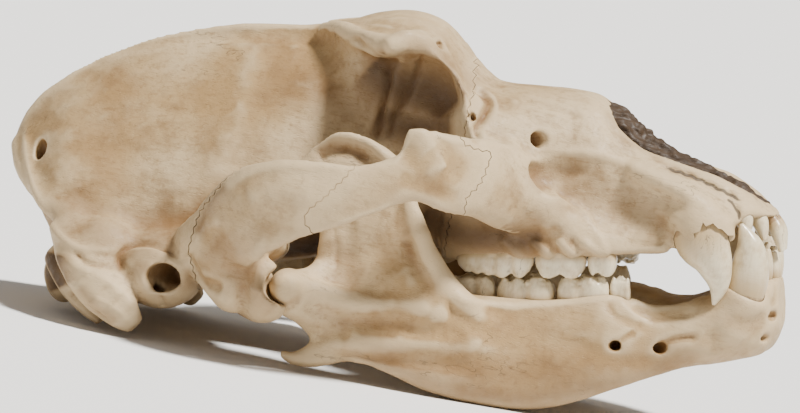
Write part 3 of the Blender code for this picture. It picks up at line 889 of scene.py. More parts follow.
    openings: dict[str, Form] = field(
        default_factory=lambda: {
            "nose": Limb((
                (234, 0, 158, 20, 22), (200, 0, 146, 21, 17), (164, 0, 150, 22, 22),
                (138, 0, 160, 20, 22), (108, 0, 160, 16, 18), (84, 0, 150, 13, 14),
            )),
            "palate": Limb((
                (210, 0, 98, 14, 10), (170, 0, 93, 24, 14), (120, 0, 90, 31, 17), (70, 0, 90, 31, 16),
                (30, 0, 90, 27, 12),
            )),
            "choana": Limb(((36, 0, 94, 15, 16), (0, 0, 88, 15, 15), (-30, 0, 80, 16, 12))),
            "foramen_magnum": Lump((-206, 0, 91), (30, 15, 12)),
        }
    )
    # Raised lines, ledges and furrows, in the order they are made.
    strokes: tuple[Stroke, ...] = (
        # the braincase
        Stroke(((60, 73), (100, 42), (160, 30), (240, 27), (320, 28)), 3.5, 1.6),
        Stroke(((75, 76), (110, 52), (165, 40), (240, 37), (330, 39)), 6, -1.5),
        Stroke(((24, 128), (27, 160), (40, 200), (58, 230), (80, 247), (104, 250), (121, 250)), 4.5, 2.0),
        Stroke(((78, 252), (90, 261), (104, 264), (120, 267)), 3.4, -2.0, near=40),
        Stroke(((95, 120), (120, 170), (160, 215), (200, 240)), 40, -2.5),
        Stroke(((255, 45), (245, 90), (232, 140), (215, 185)), 18, 1.4),
        Stroke(((300, 40), (330, 70), (350, 110), (352, 150)), 26, -3.0),
        # under the temple's edge, and the ribs on the eye socket's wall
        Stroke(((352, 34), (360, 47), (370, 60), (386, 66), (402, 65)), 7, -3.4, far=56),
        Stroke(((386, 66), (390, 78), (388, 95), (383, 112), (380, 128), (376, 141)), 5, -3.2, far=52),
        Stroke(((400, 64), (398, 82), (393, 100), (388, 124)), 5, 2.0, far=52),
        Stroke(((422, 56), (418, 72), (411, 88), (402, 105), (394, 121), (388, 141)), 4, -2.6, far=52),
        # brow, tear bone and the eye socket's rim
        Stroke(((357, 26), (395, 33), (428, 42), (446, 54), (455, 74), (461, 100)), 3.5, 1.2, near=30),
        Stroke(((474, 84), (484, 95), (488, 105), (482, 118), (477, 126), (473, 141)), 4.4, -3.6, near=36),
        Stroke(((464, 92), (466, 112), (468, 134)), 2.6, 1.4, near=40),
        Stroke(((486, 72), (497, 90), (503, 112)), 7, -1.2),
        # snout
        Stroke(((498, 90), (521, 99), (541, 106), (581, 120)), 3.0, -1.1),
        Stroke(((500, 104), (540, 120), (580, 132)), 10, -1.0),
        Stroke(((548, 152), (581, 154), (610, 160), (639, 174), (668, 189), (700, 203)), 6, 2.2),
        Stroke(((600, 206), (632, 222), (664, 232)), 16, -2.2, near=20, far=60),
        Stroke(
            ((540, 196), (558, 198), (571, 200), (580, 209), (589, 221), (602, 243), (607, 255)),
            7, 1.8, near=30, edge=-1.5,
        ),
        Stroke(((600, 112), (625, 140), (660, 156), (700, 173), (745, 196)), 2.8, 1.2),
        Stroke(((652, 166), (680, 174), (708, 186), (738, 200)), 3.2, -1.6),
        Stroke(((722, 196), (731, 207), (735, 220)), 3.0, -1.6),
        Stroke(((716, 188), (724, 206), (726, 226)), 7, 1.6),
        Stroke(((752, 196), (766, 210)), 4, -1.2),
        Stroke(((620, 240), (650, 244), (672, 238)), 7, -1.6),
        # cheekbone and arch
        Stroke(
            ((395, 163), (405, 148), (411, 130), (422, 126), (436, 136), (450, 142), (472, 146)),
            3, 1.1, near=60,
        ),
        Stroke(((430, 150), (446, 168), (462, 178)), 10, -1.4, near=80),
        Stroke(((398, 178), (430, 190), (462, 200)), 9, -1.2, near=90),
        Stroke(((336, 226), (380, 212), (420, 210), (460, 216)), 5, 1.6, near=90),
        Stroke(((215, 206), (238, 184), (262, 171), (300, 167), (352, 168)), 5, 1.2, near=70),
        Stroke(((250, 200), (290, 190), (318, 196)), 14, 1.2, near=90),
        Stroke(((266, 240), (262, 252), (262, 272), (268, 292), (280, 306)), 5, 1.8, near=90),
        Stroke(((212, 226), (226, 250), (244, 276), (262, 300)), 11, -2.2, near=80),
        # roots of the cheek teeth
        Stroke(((499, 236), (512, 250), (526, 263)), 4.6, 2.0, near=40),
        Stroke(((530, 238), (541, 250), (550, 261)), 4.6, 2.0, near=40),
        Stroke(((555, 238), (565, 250), (574, 260)), 4.6, 2.0, near=40),
        Stroke(((578, 240), (592, 250), (606, 259)), 4.6, 2.0, near=40),
        Stroke(((516, 238), (528, 250), (537, 260)), 4, -1.4, near=40),
        Stroke(((543, 238), (553, 250), (561, 260)), 4, -1.4, near=40),
        Stroke(((567, 238), (578, 250), (588, 260)), 4, -1.4, near=40),
        Stroke(((497, 224), (511, 231), (537, 236), (560, 230)), 7, -1.2, near=46),
        Stroke(((608, 252), (640, 250), (668, 249)), 4, 1.2, near=30),
        # mastoid, paroccipital and ear
        Stroke(((66, 258), (84, 268), (112, 282), (142, 308)), 5, 1.4, near=50),
        Stroke(((70, 290), (90, 308), (112, 322)), 4, -2.6, near=40),
        Stroke(((76, 284), (86, 276), (99, 271)), 3.4, -0.9, near=50),
        Stroke(((92, 300), (106, 289), (116, 284)), 2.8, -1.0, near=50),
        Stroke(((101, 312), (118, 301), (131, 294)), 3.2, -1.2, near=50),
        Stroke(((117, 321), (130, 313), (142, 305)), 2.6, -0.9, near=50),
        Stroke(((98, 296), (120, 308), (132, 320)), 3.0, 0.9, near=50),
        Stroke(((123, 268), (124, 254), (136, 246), (152, 244), (166, 249), (178, 256)), 3.2, -2.2, near=50),
        Stroke(((130, 270), (134, 256), (150, 251), (168, 256), (184, 268), (188, 284)), 5, 1.4, near=60),
        Stroke(((186, 252), (194, 266), (204, 280), (226, 288)), 7, -4.0, near=50),
        Stroke(((164, 294), (168, 302), (172, 310)), 2.6, -1.6, near=60),
    )
    # Where the bone is painted darker: earth stain together with painted shade on the shadowed parts; the
    # lift is how much of it there is.
    soil: ClassVar[tuple[Stroke, ...]] = (
        Stroke(((366, 60), (396, 84), (430, 92), (456, 116)), 50, 0.8, far=62),
        Stroke(((372, 112), (410, 128), (456, 130)), 34, 0.74, far=72),
        Stroke(((415, 205), (450, 230), (490, 238), (550, 240)), 30, 0.78, far=82),
        Stroke(((270, 270), (300, 254), (335, 240)), 32, 0.9, far=72),
        Stroke(((214, 238), (236, 262), (262, 290), (284, 310)), 34, 0.55, near=60),
        Stroke(((200, 236), (212, 206), (232, 184)), 12, 0.6),
        Stroke(((56, 250), (54, 268), (62, 290)), 24, 0.86),
        Stroke(((64, 186), (96, 222), (140, 238), (185, 232)), 36, 0.5),
        Stroke(((130, 58), (108, 110), (104, 160), (130, 205)), 34, 0.36),
        Stroke(((262, 66), (300, 84), (340, 100), (356, 130)), 38, 0.5),
        Stroke(((290, 140), (330, 130), (370, 128)), 20, 0.3, far=70),
        Stroke(((132, 262), (150, 268), (186, 282), (196, 264)), 14, 0.5, near=50),
        Stroke(((82, 284), (100, 306), (122, 322)), 9, 0.5, near=50),
        Stroke(((538, 163), (531, 178), (543, 193)), 9, 0.5),
        Stroke(((552, 182), (600, 196), (640, 212), (668, 226)), 28, 0.45),
        Stroke(((600, 110), (628, 140), (664, 158)), 8, 0.35),
        Stroke(((480, 88), (486, 104), (478, 126)), 6, 0.55),
    )
    # The closed sutures round the bone of the incisors, pressed in as thin lines.
    sutures: ClassVar[tuple[Stroke, ...]] = (
        Stroke(((660, 168), (690, 178), (716, 190), (738, 202)), 1.9, -0.45, near=10, far=60),
        Stroke(((722, 198), (731, 208), (735, 220)), 1.9, -0.45, near=20, far=60),
    )

    # Regions of the right side, as outlines on the side sheet and the half-width they start at.
    regions: tuple[tuple[str, Path, float], ...] = (
        (
            "cheekbone",
            (
                (489, 154), (486, 166), (478, 184), (465, 198), (462, 216), (462, 240), (400, 256),
                (330, 256), (320, 238), (307, 222), (310, 212), (325, 200), (344, 182), (358, 166),
                (376, 140), (390, 112), (425, 104), (452, 120), (462, 146), (478, 152),
            ),
            58,
        ),
        (
            "temple",
            (
                (360, 140), (360, 200), (330, 262), (300, 340), (204, 340), (204, 300), (197, 268),
                (192, 250), (204, 212), (228, 182), (255, 160), (290, 140),
            ),
            62,
        ),
    )
    face_seam: Path = (
        (36, 50), (36, 95), (40, 120), (44, 150), (50, 170), (52, 188), (49, 203), (46, 212), (42, 225),
        (40, 260),
    )
    # The worn scroll bones and partition in the nose: x, crest of the mass, half-width, half-height.
    scrolls: tuple[Row, ...] = (
        (100, 176, 9, 12), (114, 184, 12, 12), (124, 185, 14, 12), (135, 177.5, 15, 12),
        (145, 168.5, 15.5, 11), (154, 163, 16, 10.5), (163, 157, 16, 10), (172, 152.5, 16, 9.5),
        (182, 148, 16, 9), (191, 143.5, 16, 8.5), (203, 138, 15, 8), (212, 132.5, 13, 7),
        (219, 126.5, 9, 6),
    )
    # The ragged edge of the bone over the upper canine's root, on the side sheet.
    canine_margin: Path = (
        (664, 252), (673, 247), (678, 240), (684, 242), (689, 238), (688, 233), (694, 231), (697, 222),
        (700, 226), (707, 223), (712, 228), (716, 229), (722, 235), (728, 235), (734, 243), (740, 266),
        (664, 266),
    )
    canine_cheek: float = 45.5  # the half-width that the broken rim starts at

    def shape(self) -> Clay:
        """Shapes the cranium from its forms, hollows and strokes.

        Returns:
            The whole cranium, before it is parted.
        """
        forms = [Clay.tube("hull", hull_rings(CRANIUM_STATIONS))]
        forms += [form.build(side) for form in self.forms.values() for side in Side]
        body = Clay.merged("cranium", forms).fuse(VOXEL)
        sculptor = Sculptor(body)
        sculptor.fill(scaled_rounds(29))
        sculptor.relax(4)
        sculptor.write()
        hollows = [form.build(side) for form in self.hollows.values() for side in Side]
        hollows += [form.build(Side.RIGHT) for form in self.openings.values()]
        cutter = Clay.merged("hollows", hollows).fuse(VOXEL)
        body.cut(cutter).fuse(VOXEL)
        sculptor = Sculptor(body)
        sculptor.relax(3)
        for stroke in self.strokes:
            sculptor.draw(stroke)
        sculptor.relax(1)
        return self.weather(body, sculptor)

    def weather(self, body: Clay, sculptor: Sculptor) -> Clay:
        """Roughens the bone: broad unevenness, muscle scars and small pitting.

        Args:
            body: the bone.
            sculptor: the one at work on it.

        Returns:
            The same bone.
        """
        sculptor.ripple(42, 0.9, seed=3)
        sculptor.ripple((26, 9, 9), 0.35, seed=5)
        sculptor.ripple(5, 0.16, seed=7)
        sculptor.write()
        return body

    def scroll_mass(self) -> Clay:
        """Shapes what is left of the thin bones in the nose.

        Returns:
            Their folded mass, ridged along its length.
        """
        rows = [(x, 0, top - half, wide, half) for x, top, wide, half in self.scrolls]
        mass = Clay.tube("scrolls", limb_rings(rows, Axis.UP, around=40, steps=8)).fuse(SCROLL_VOXEL)
        sculptor = Sculptor(mass)
        sculptor.ripple((15, 3.4, 3.4), 2.0, seed=61)
        sculptor.ripple((6, 4, 4), 1.2, seed=62)
        sculptor.ripple(2.4, 0.5, seed=63)
        sculptor.relax(1)
        sculptor.write()
        return mass

    def bare_canines(self, face: Clay) -> Clay:
        """Breaks the bone's rim back over the outer side of the upper canines.

        Args:
            face: the face.

        Returns:
            The same face.
        """
        edge = SHEET.lay(self.canine_margin)
        rings = np.array([SHEET.behind(edge, width) for width in (self.canine_cheek, FAR)])
        right = Clay.tube("margin", rings)
        return face.cut(Clay.merged("margin", [right, right.mirrored("margin")]))

    def face_prism(self, grow: float) -> Clay:
        """Everything in front of the seam between the braincase and the face.

        Args:
            grow: how far the seam is pushed back, in millimetres.

        Returns:
            The cutter.
        """
        seam = zigzag(curve(self.face_seam, 4), SUTURE_TOOTH, SUTURE_PITCH, seed=31)
        outline = np.vstack([seam - (grow, 0), (FAR, self.face_seam[-1][1]), (FAR, self.face_seam[0][1])])
        rings = np.array([[(x, y, z) for x, z in outline] for y in (-FAR, FAR)])
        return Clay.tube("prism", rings)

    def part(self, whole: Clay) -> dict[str, Clay]:
        """Parts the cranium along its sutures.

        Args:
            whole: the shaped cranium.

        Returns:
            The bones by name.
        """
        bones: dict[str, Clay] = {}
        for seed, (name, outline, near) in enumerate(self.regions):
            chunk = whole.copy(name).cut(outline_prism(outline, near, 0, seed), "INTERSECT")
            whole.cut(outline_prism(outline, near, SUTURE, seed))
            for bone in chunk.loose()[:2]:
                side = Side.LEFT if bone.points()[:, 1].mean() > 0 else Side.RIGHT
                bones[f"{name}_{side.label}"] = bone
        face = whole.copy("face").cut(self.face_prism(0), "INTERSECT")
        whole.cut(self.face_prism(SUTURE))
        bones["face"] = face.loose()[0]
        bones["braincase"] = whole.loose()[0]
        return bones


# ---------------------------------------------------------------------------------------- the jaw


@dataclass
class Jaw:
    """One half of the lower jaw."""

    side: Side
    # x, tooth edge, lower border, middle of the thickness and half of it.
    body: tuple[Row, ...] = (
        (-14, 60, 37, 83, 6), (12, 71, 24, 76, 9.5), (38, 75, 13, 67, 13.5), (62, 72, 7, 59, 14.5),
        (86, 70, 4.5, 52, 14.5), (108, 70, 8, 49, 14.5), (130, 73, 14.5, 46.5, 14),
        (146, 71, 19.5, 43, 13.5), (158, 66.5, 23.5, 38, 14), (172, 67, 27.5, 31, 17.5),
        (184, 71, 30, 25, 22), (196, 74.5, 31.5, 21, 24.5), (210, 78, 34, 17, 24.5),
        (222, 81, 38, 12, 20), (231, 83, 52, 5, 13),
    )
    # Height, front edge, rear edge, middle of the thickness and half of it.
    branch: tuple[Row, ...] = (
        (34, 20, -26, 78, 4.5), (42, 27, -38, 78, 5), (48, 33, -39, 78, 6), (55, 38, -43, 79, 6),
        (63, 42, -49, 80, 6), (72, 42, -51, 80, 5.5), (80, 40, -47, 80, 5.5), (87, 37, -41, 79, 5.5),
        (96, 31, -37, 78, 5), (108, 26, -35, 77.5, 4.8), (120, 22, -36, 77, 4.4), (134, 17, -43, 76, 4.2),
        (148, 11, -49, 75.5, 4), (158, 4, -43, 75, 3.6), (165, -6, -33, 75, 3.2), (168.5, -15, -25, 75, 2.4),
    )
    forms: dict[str, Form] = field(
        default_factory=lambda: {
            "condyle": Limb((
                (-53, -68, 79, 8, 8.5), (-52, -90, 79, 10, 10), (-50, -106, 79, 9.5, 9.5),
                (-48, -115, 77, 6, 6.5),
            )),
            "neck": Limb((
                (-14, -79, 64, 7, 16), (-30, -84, 67, 9, 15), (-44, -93, 71, 13, 13),
                (-49, -102, 74, 12, 11),
            )),
            "joint_web": Limb((
                (-50, -98, 80, 7.5, 8.5), (-43, -91, 80.5, 7, 8.5), (-36, -85, 82.5, 6, 8.5),
                (-30, -80, 88, 5, 9),
            )),
            "rear_edge": Limb((
                (-48, -98, 74, 7, 9), (-44, -90, 63, 6, 7), (-37, -84, 54, 5.5, 6),
                (-33, -82, 46, 5.5, 5),
            ), Axis.ACROSS),
            "canine_root": Limb((
                (184, -28, 50, 11, 11), (198, -30, 60, 14, 13), (208, -31.5, 68, 15.5, 13.5),
                (212.5, -32.5, 75, 15, 12.5),
            ), Axis.ACROSS),
            "angle": Limb((
                (-14, -80, 47, 6, 11), (-34, -84, 39, 6, 8.5), (-48, -87, 36, 5, 5),
                (-57, -88, 40, 2.2, 2.2),
            )),
            "front_ridge": Limb((
                (98, -50, 40, 4, 5), (74, -59, 51, 7, 8), (50, -70, 69, 7, 8), (33, -76, 94, 5.5, 6),
                (22, -77, 120, 5, 5.5), (11, -75, 150, 4, 5), (-8, -75, 163, 3.5, 4),
            ), Axis.ACROSS),
            "upper_ridge": Limb((
                (-50, -102, 81, 7, 8), (-28, -91, 72, 7, 9), (0, -83, 66, 6, 10), (24, -75, 60, 6, 10),
                (42, -66, 54, 5, 8), (58, -57, 48, 3, 4),
            )),
            "lower_ridge": Limb((
                (-34, -84, 44, 5, 6), (0, -81, 39, 5, 8), (26, -73, 36, 6, 9), (46, -63, 33, 5, 7),
                (62, -54, 30, 3, 4),
            )),
        }
    )
    hollows: dict[str, Form] = field(
        default_factory=lambda: {
            "first_chin_hole": Bore((612, 343), 54, (3.6, 13, 3.2)),
            "second_chin_hole": Bore((656, 346), 49, (4.2, 11, 3.0), 30),
            "front_hole": Bore((767, 315), 22, (4.5, 6, 3.4)),
            "lower_front_hole": Bore((760, 336), 25, (4, 5, 2.4)),
            "inner_hole": Lump((-4, -74, 56), (6, 5, 3.5)),
        }
    )
    # Where the bone is painted darker: earth stain together with painted shade on the shadowed parts; the
    # lift is how much of it there is.
    soil: ClassVar[tuple[Stroke, ...]] = (
        Stroke(((330, 235), (344, 262), (366, 276)), 20, 0.45),
        Stroke(((316, 154), (340, 148), (368, 158)), 9, 0.6),
        Stroke(((404, 225), (416, 262), (440, 292)), 9, 0.4),
        Stroke(((300, 306), (350, 318), (425, 326)), 9, 0.35),
        Stroke(((340, 358), (420, 366), (500, 372), (600, 366), (700, 348)), 30, 0.45),
        Stroke(((372, 372), (440, 392), (540, 398), (640, 378), (720, 352)), 26, 0.55),
        Stroke(((690, 300), (730, 320), (762, 330)), 22, 0.35),
        Stroke(((700, 280), (722, 296), (740, 304)), 12, 0.35),
        Stroke(((500, 318), (560, 326), (600, 322)), 12, 0.2),
    )
    strokes: tuple[Stroke, ...] = (
        # the hollow for the chewing muscle, and the ridges that frame it
        Stroke(((330, 262), (360, 250), (390, 252), (404, 270)), 16, -2.0, near=60),
        Stroke(((345, 210), (350, 240), (350, 280)), 10, -1.4, near=60),
        Stroke(((334, 226), (338, 250), (336, 276)), 3, -0.8, near=60),
        Stroke(((280, 274), (302, 284), (330, 295), (366, 302), (400, 302), (436, 308)), 9, 1.8, near=50),
        Stroke(((300, 304), (330, 314), (380, 322), (425, 326)), 9, -1.8, near=50),
        Stroke(((322, 341), (360, 340), (410, 341), (462, 344), (500, 350)), 9, 1.6, near=40),
        Stroke(((330, 350), (372, 356), (420, 362), (470, 366)), 7, -1.5, near=30),
        Stroke(((417, 224), (428, 254), (440, 280), (460, 300), (490, 320)), 10, 1.8, near=40),
        Stroke(((404, 236), (414, 262), (430, 290)), 7, -2.0, near=60),
        Stroke(((430, 309), (450, 318), (466, 330), (480, 345)), 10, 1.3, near=40),
        # the rim of the branch's tip and the hollow inside it
        Stroke(
            ((300, 166), (300, 156), (308, 147), (322, 139), (340, 136), (359, 140), (377, 150), (390, 163)),
            4, 1.8,
        ),
        Stroke(((318, 162), (336, 152), (356, 154), (372, 163)), 8, -3.2),
        # under the cheek teeth and along the gap behind the canine
        Stroke(((450, 294), (474, 301), (510, 305), (540, 303), (584, 299), (618, 294)), 3.6, 1.6, near=30),
        Stroke(((470, 312), (520, 318), (590, 312)), 9, -1.0, near=30),
        Stroke(((500, 330), (560, 338), (620, 360), (680, 362)), 12, -1.4, near=20),
        Stroke(((624, 291), (640, 302), (659, 306), (682, 300), (703, 289)), 3.4, 1.8, near=10),
        Stroke(((628, 304), (650, 316), (690, 311)), 5, -1.6, near=10),
        Stroke(((604, 300), (614, 316), (640, 326)), 4, -1.2, near=20),
        Stroke(((614, 296), (626, 310), (646, 320)), 3, 0.9, near=20),
        # chin
        Stroke(((614, 341), (622, 335), (631, 330)), 2.6, -1.6, near=20),
        Stroke(((655, 343), (672, 337), (692, 335)), 3.4, -2.0, near=20),
        Stroke(((714, 306), (722, 322), (740, 340)), 14, 1.6, near=10),
        Stroke(((700, 330), (720, 350), (745, 350)), 10, -1.4, near=8),
        Stroke(((756, 290), (762, 310), (758, 338)), 5, 1.2, near=4),
        Stroke(((771, 272), (772, 292), (768, 304)), 3.2, -1.2, near=2),
        Stroke(((282, 350), (300, 358), (326, 358)), 4, 1.0, near=60),
    )

    def body_rings(self) -> np.ndarray:
        """Lays out the jaw's body, which crosses the midline at the chin.

        Returns:
            Its points, ring by ring.
        """
        turn = np.linspace(0, 2 * math.pi, 56, endpoint=False)
        rings = []
        for x, top, bottom, middle, half in curve(self.body, 8):
            wide = middle + half * squared(np.cos(turn), 0.75)
            high = (top + bottom) / 2 + (top - bottom) / 2 * squared(np.sin(turn), 0.8)
            rings.append(np.stack([np.full(56, x), self.side.value * wide, high], axis=1))
        return np.array(rings)

    def branch_rings(self) -> np.ndarray:
        """Lays out the upright branch, from its foot to its tip.

        Returns:
            Its points, ring by ring.
        """
        turn = np.linspace(0, 2 * math.pi, 56, endpoint=False)
        rings = []
        for z, front, rear, middle, half in curve(self.branch, 6):
            along = (front + rear) / 2 + (front - rear) / 2 * squared(np.cos(turn), 0.8)
            wide = self.side.value * (middle + half * np.sin(turn))
            rings.append(np.stack([along, wide, np.full(56, z)], axis=1))
        return np.array(rings)

    def build(self) -> Clay:
        """Shapes this half and trims it at the midline.

        Returns:
            The bone.
        """
        forms = [Clay.tube("body", self.body_rings()), Clay.tube("branch", self.branch_rings())]
        forms += [form.build(self.side) for form in self.forms.values()]
        bone = Clay.merged(f"jaw_{self.side.label}", forms).fuse(VOXEL)
        sculptor = Sculptor(bone)
        sculptor.fill(scaled_rounds(18))
        sculptor.relax(4)
        sculptor.write()
        cutter = Clay.merged("hollows", [form.build(self.side) for form in self.hollows.values()])
        bone.cut(cutter).fuse(VOXEL)
        sculptor = Sculptor(bone)
        sculptor.relax(2)
        for stroke in self.strokes:
            sculptor.draw(stroke)
        sculptor.relax(1)
        sculptor.ripple(38, 0.8, seed=13)
        sculptor.ripple((24, 8, 8), 0.35, seed=15)
        sculptor.ripple(5, 0.16, seed=17)
        sculptor.write()
        seam = zigzag(np.array([(0.0, 0.0), (0.0, 120.0)]), size=0.8, pitch=3, seed=41)
        seam = np.vstack([seam, (0, 200)])
        edge = self.side.value * SUTURE / 2
        outline = np.vstack([seam + (edge, 0), (self.side.value * FAR, 200), (self.side.value * FAR, 0)])
        rings = np.array([[(x, y, z) for y, z in outline] for x in (-FAR, FAR)])
        return bone.cut(Clay.tube("half", rings), "INTERSECT").loose()[0]


# ------------------------------------------------------------------------------------------ teeth

BITE, BITE_MIDDLE, BITE_SLOPE = 84.6, 45.0, 0.22  # where the rows meet: height, at a half-width, and its fall


class ToothRow(Enum):
    """The upper or the lower row of teeth: which way its crowns point, and where they start."""

    UPPER = (-1, 98.0)
    LOWER = (1, 67.0)

    @property
    def way(self) -> int:
        """The sign of the way that the crowns point."""
        return self.value[0]

    @property
    def neck(self) -> float:
        """The height that the crowns rise from."""
        return self.value[1]


@dataclass(frozen=True)
class Cusp:
    """One cusp: its place from the crown's rear to its front and from tongue to cheek, how far it
    stands over the crown's floor and its radius, in millimetres."""

    along: float
    across: float
    rise: float
    size: float


@dataclass(frozen=True)
class CheekTooth:
    """A broad crushing tooth: a crown that swells above its neck and carries low wrinkled cusps."""

    name: str
    row: ToothRow
    first: float
    last: float
    middle: float
    half: float
    cusps: tuple[Cusp, ...]
    furrows: tuple[float, ...] = ()  # places along the cheek side where a furrow runs up the crown
    floor: float = 4.4  # how far the crown's floor lies under the bite
    taper: float = 0.12  # how much narrower the crown's rear end is
    cusp_gain: float = 1.25  # how much prouder the unworn cusps stand
    cusp_power: float = 1.35  # how rounded a cusp is: 1 for a cone, 2 for a dome
    furrow_depth: float = 1.9
    furrow_width: float = 5.0
    wrinkle: float = 0.5  # the depth of the enamel's wrinkles
    play: float = 0.35  # the least gap to the other row

    # The crown's outline from its root to its floor: height over the neck, as a share, and size.
    outline: tuple[Row, ...] = (
        (-0.75, 0.62), (-0.4, 0.74), (-0.1, 0.84), (0.06, 0.93), (0.26, 1.0), (0.55, 1.0), (0.8, 0.95),
        (0.95, 0.84), (1.0, 0.66),
    )

    def bite(self, y: np.ndarray | float) -> np.ndarray | float:
        """The height of the bite surface at a half-width."""
        return BITE - (y - BITE_MIDDLE) * BITE_SLOPE

    def crown(self) -> np.ndarray:
        """Lays out the bare crown on the right side, leaning with the bite.

        Returns:
            Its points, ring by ring.
        """
        centre, long = (self.first + self.last) / 2, (self.last - self.first) / 2
        turn = np.linspace(0, 2 * math.pi, 72, endpoint=False)
        rings = []
        for share, size in curve(self.outline, 3):
            x = centre + long * size * squared(np.cos(turn), 0.6)
            narrow = 1 - self.taper * np.clip((centre - x) / long * 0.6 + 0.4, 0, 1) ** 1.5
            wide = self.middle + self.half * size * narrow * squared(np.sin(turn), 0.7)
            top = self.bite(wide) - self.row.way * self.floor
            rings.append(np.stack([x, -wide, self.row.neck + (top - self.row.neck) * share], axis=1))
        return np.array(rings)

    def build(self, side: Side) -> Clay:
        """Shapes the tooth and the top of its roots.

        Args:
            side: the side that it stands on.

        Returns:
            The tooth.
        """
        tooth = Clay.tube(f"{self.name}_{side.label}", self.crown() * (1, -side.value, 1)).fuse(TOOTH_VOXEL)
        sculptor = Sculptor(tooth)
        sculptor.relax(2)
        x, wide, z = sculptor.points[:, 0], side.value * sculptor.points[:, 1], sculptor.points[:, 2]
        up = self.row.way * (z - self.row.neck)
        height = self.row.way * (self.bite(wide) - self.row.neck) - self.floor
        near_top = np.clip((up - height + 5.0) / 4.6, 0, 1) ** 1.5
        rise = np.zeros(len(x))
        for cusp in self.cusps:
            far = np.hypot(
                x - (self.first + cusp.along * (self.last - self.first)),
                wide - (self.middle + cusp.across * self.half),
            )
            shape = np.exp(-((far / cusp.size) ** self.cusp_power))
            rise = np.maximum(rise, self.cusp_gain * cusp.rise * shape)
        sculptor.points[:, 2] += self.row.way * rise * near_top
        on_side = np.clip(up / 3, 0, 1) * np.clip((wide - self.middle) / self.half, 0, 1)
        for place in self.furrows:
            furrow = bell(np.abs(x - (self.first + place * (self.last - self.first))), self.furrow_width)
            sculptor.points[:, 1] -= side.value * self.furrow_depth * furrow * on_side
        sculptor.relax(1)
        sculptor.ripple((5, 5, 11), 0.6, seed=21)
        sculptor.lift(self.wrinkle * mottle(sculptor.points, 1.7, 23) * near_top)
        wide = np.abs(sculptor.points[:, 1])
        limit = self.bite(wide) - self.row.way * (self.play + 0.25 * mottle(sculptor.points, 5, 25))
        beyond = (sculptor.points[:, 2] - limit) * self.row.way > 0
        sculptor.points[beyond, 2] = limit[beyond]
        sculptor.relax(1)
        sculptor.write()
        return tooth

    def crown_share(self, points: np.ndarray) -> np.ndarray:
        """How far along the crown points lie, from 0 at the neck to 1 at the bite."""
        return (points[:, 2] - self.row.neck) / (self.bite(self.middle) - self.row.neck)


CHEEK_TEETH = (
    CheekTooth(
        "upper_second_molar", ToothRow.UPPER, 43, 89, 47, 11,
        (
            Cusp(0.84, 0.55, 4.4, 6.5), Cusp(0.60, 0.58, 4.0, 6.0), Cusp(0.42, 0.5, 2.6, 4.6),
            Cusp(0.27, 0.46, 2.2, 4.4), Cusp(0.12, 0.25, 1.8, 4.4), Cusp(0.20, -0.4, 2.0, 4.4),
            Cusp(0.76, -0.6, 3.2, 6.0), Cusp(0.52, -0.62, 2.8, 5.6), Cusp(0.36, -0.5, 2.2, 4.4),
        ),
        (0.72, 0.48), taper=0.45,
    ),
    CheekTooth(
        "upper_first_molar", ToothRow.UPPER, 90, 120, 47, 10,
        (
            Cusp(0.27, 0.52, 4.6, 6.2), Cusp(0.73, 0.52, 4.6, 6.2), Cusp(0.70, -0.55, 3.4, 5.8),
            Cusp(0.30, -0.55, 3.2, 5.6), Cusp(0.96, 0.4, 2.0, 3.0), Cusp(0.04, 0.4, 2.0, 3.0),
        ),
        (0.5,),
    ),
    CheekTooth(
        "upper_fourth_premolar", ToothRow.UPPER, 121, 138.5, 45.5, 7.4,
        (Cusp(0.66, 0.35, 4.6, 5.0), Cusp(0.20, 0.35, 3.2, 3.8), Cusp(0.42, -0.5, 2.2, 3.8)),
        (0.42,),
    ),
    CheekTooth(
        "lower_third_molar", ToothRow.LOWER, 38, 65.5, 45, 9.6,
        (
            Cusp(0.76, 0.5, 3.4, 5.6), Cusp(0.78, -0.45, 3.0, 5.2), Cusp(0.42, 0.5, 2.8, 5.6),
            Cusp(0.40, -0.45, 2.4, 5.0), Cusp(0.12, 0.1, 2.0, 5.0),
        ),
        (0.6,), 3.6,
    ),
    CheekTooth(
        "lower_second_molar", ToothRow.LOWER, 66.5, 101, 45, 9.4,
        (
            Cusp(0.12, 0.5, 4.0, 4.0), Cusp(0.36, 0.55, 3.4, 4.2), Cusp(0.72, 0.5, 4.6, 5.4),
            Cusp(0.93, 0.4, 2.6, 3.6), Cusp(0.28, -0.5, 3.4, 5.0), Cusp(0.66, -0.5, 4.0, 5.4),
        ),
        (0.5,), 4.4,
    ),
    CheekTooth(
        "lower_first_molar", ToothRow.LOWER, 102.5, 133.5, 44.5, 7.6,
        (
            Cusp(0.62, 0.25, 3.6, 5.4), Cusp(0.88, 0.15, 2.8, 4.4), Cusp(0.50, -0.5, 2.8, 3.8),
            Cusp(0.24, 0.35, 3.0, 5.0), Cusp(0.2, -0.4, 2.4, 4.2), Cusp(0.07, 0.1, 2.4, 3.4),
        ),
        (0.44,), 3.6,
    ),
    CheekTooth(
        "lower_fourth_premolar", ToothRow.LOWER, 134.3, 145.8, 43.5, 5.6,
        (Cusp(0.52, 0.1, 4.0, 3.0), Cusp(0.92, 0.2, 2.8, 1.9), Cusp(0.14, 0.2, 3.0, 2.1)),
        (0.34, 0.72), 4.2,
    ),
)


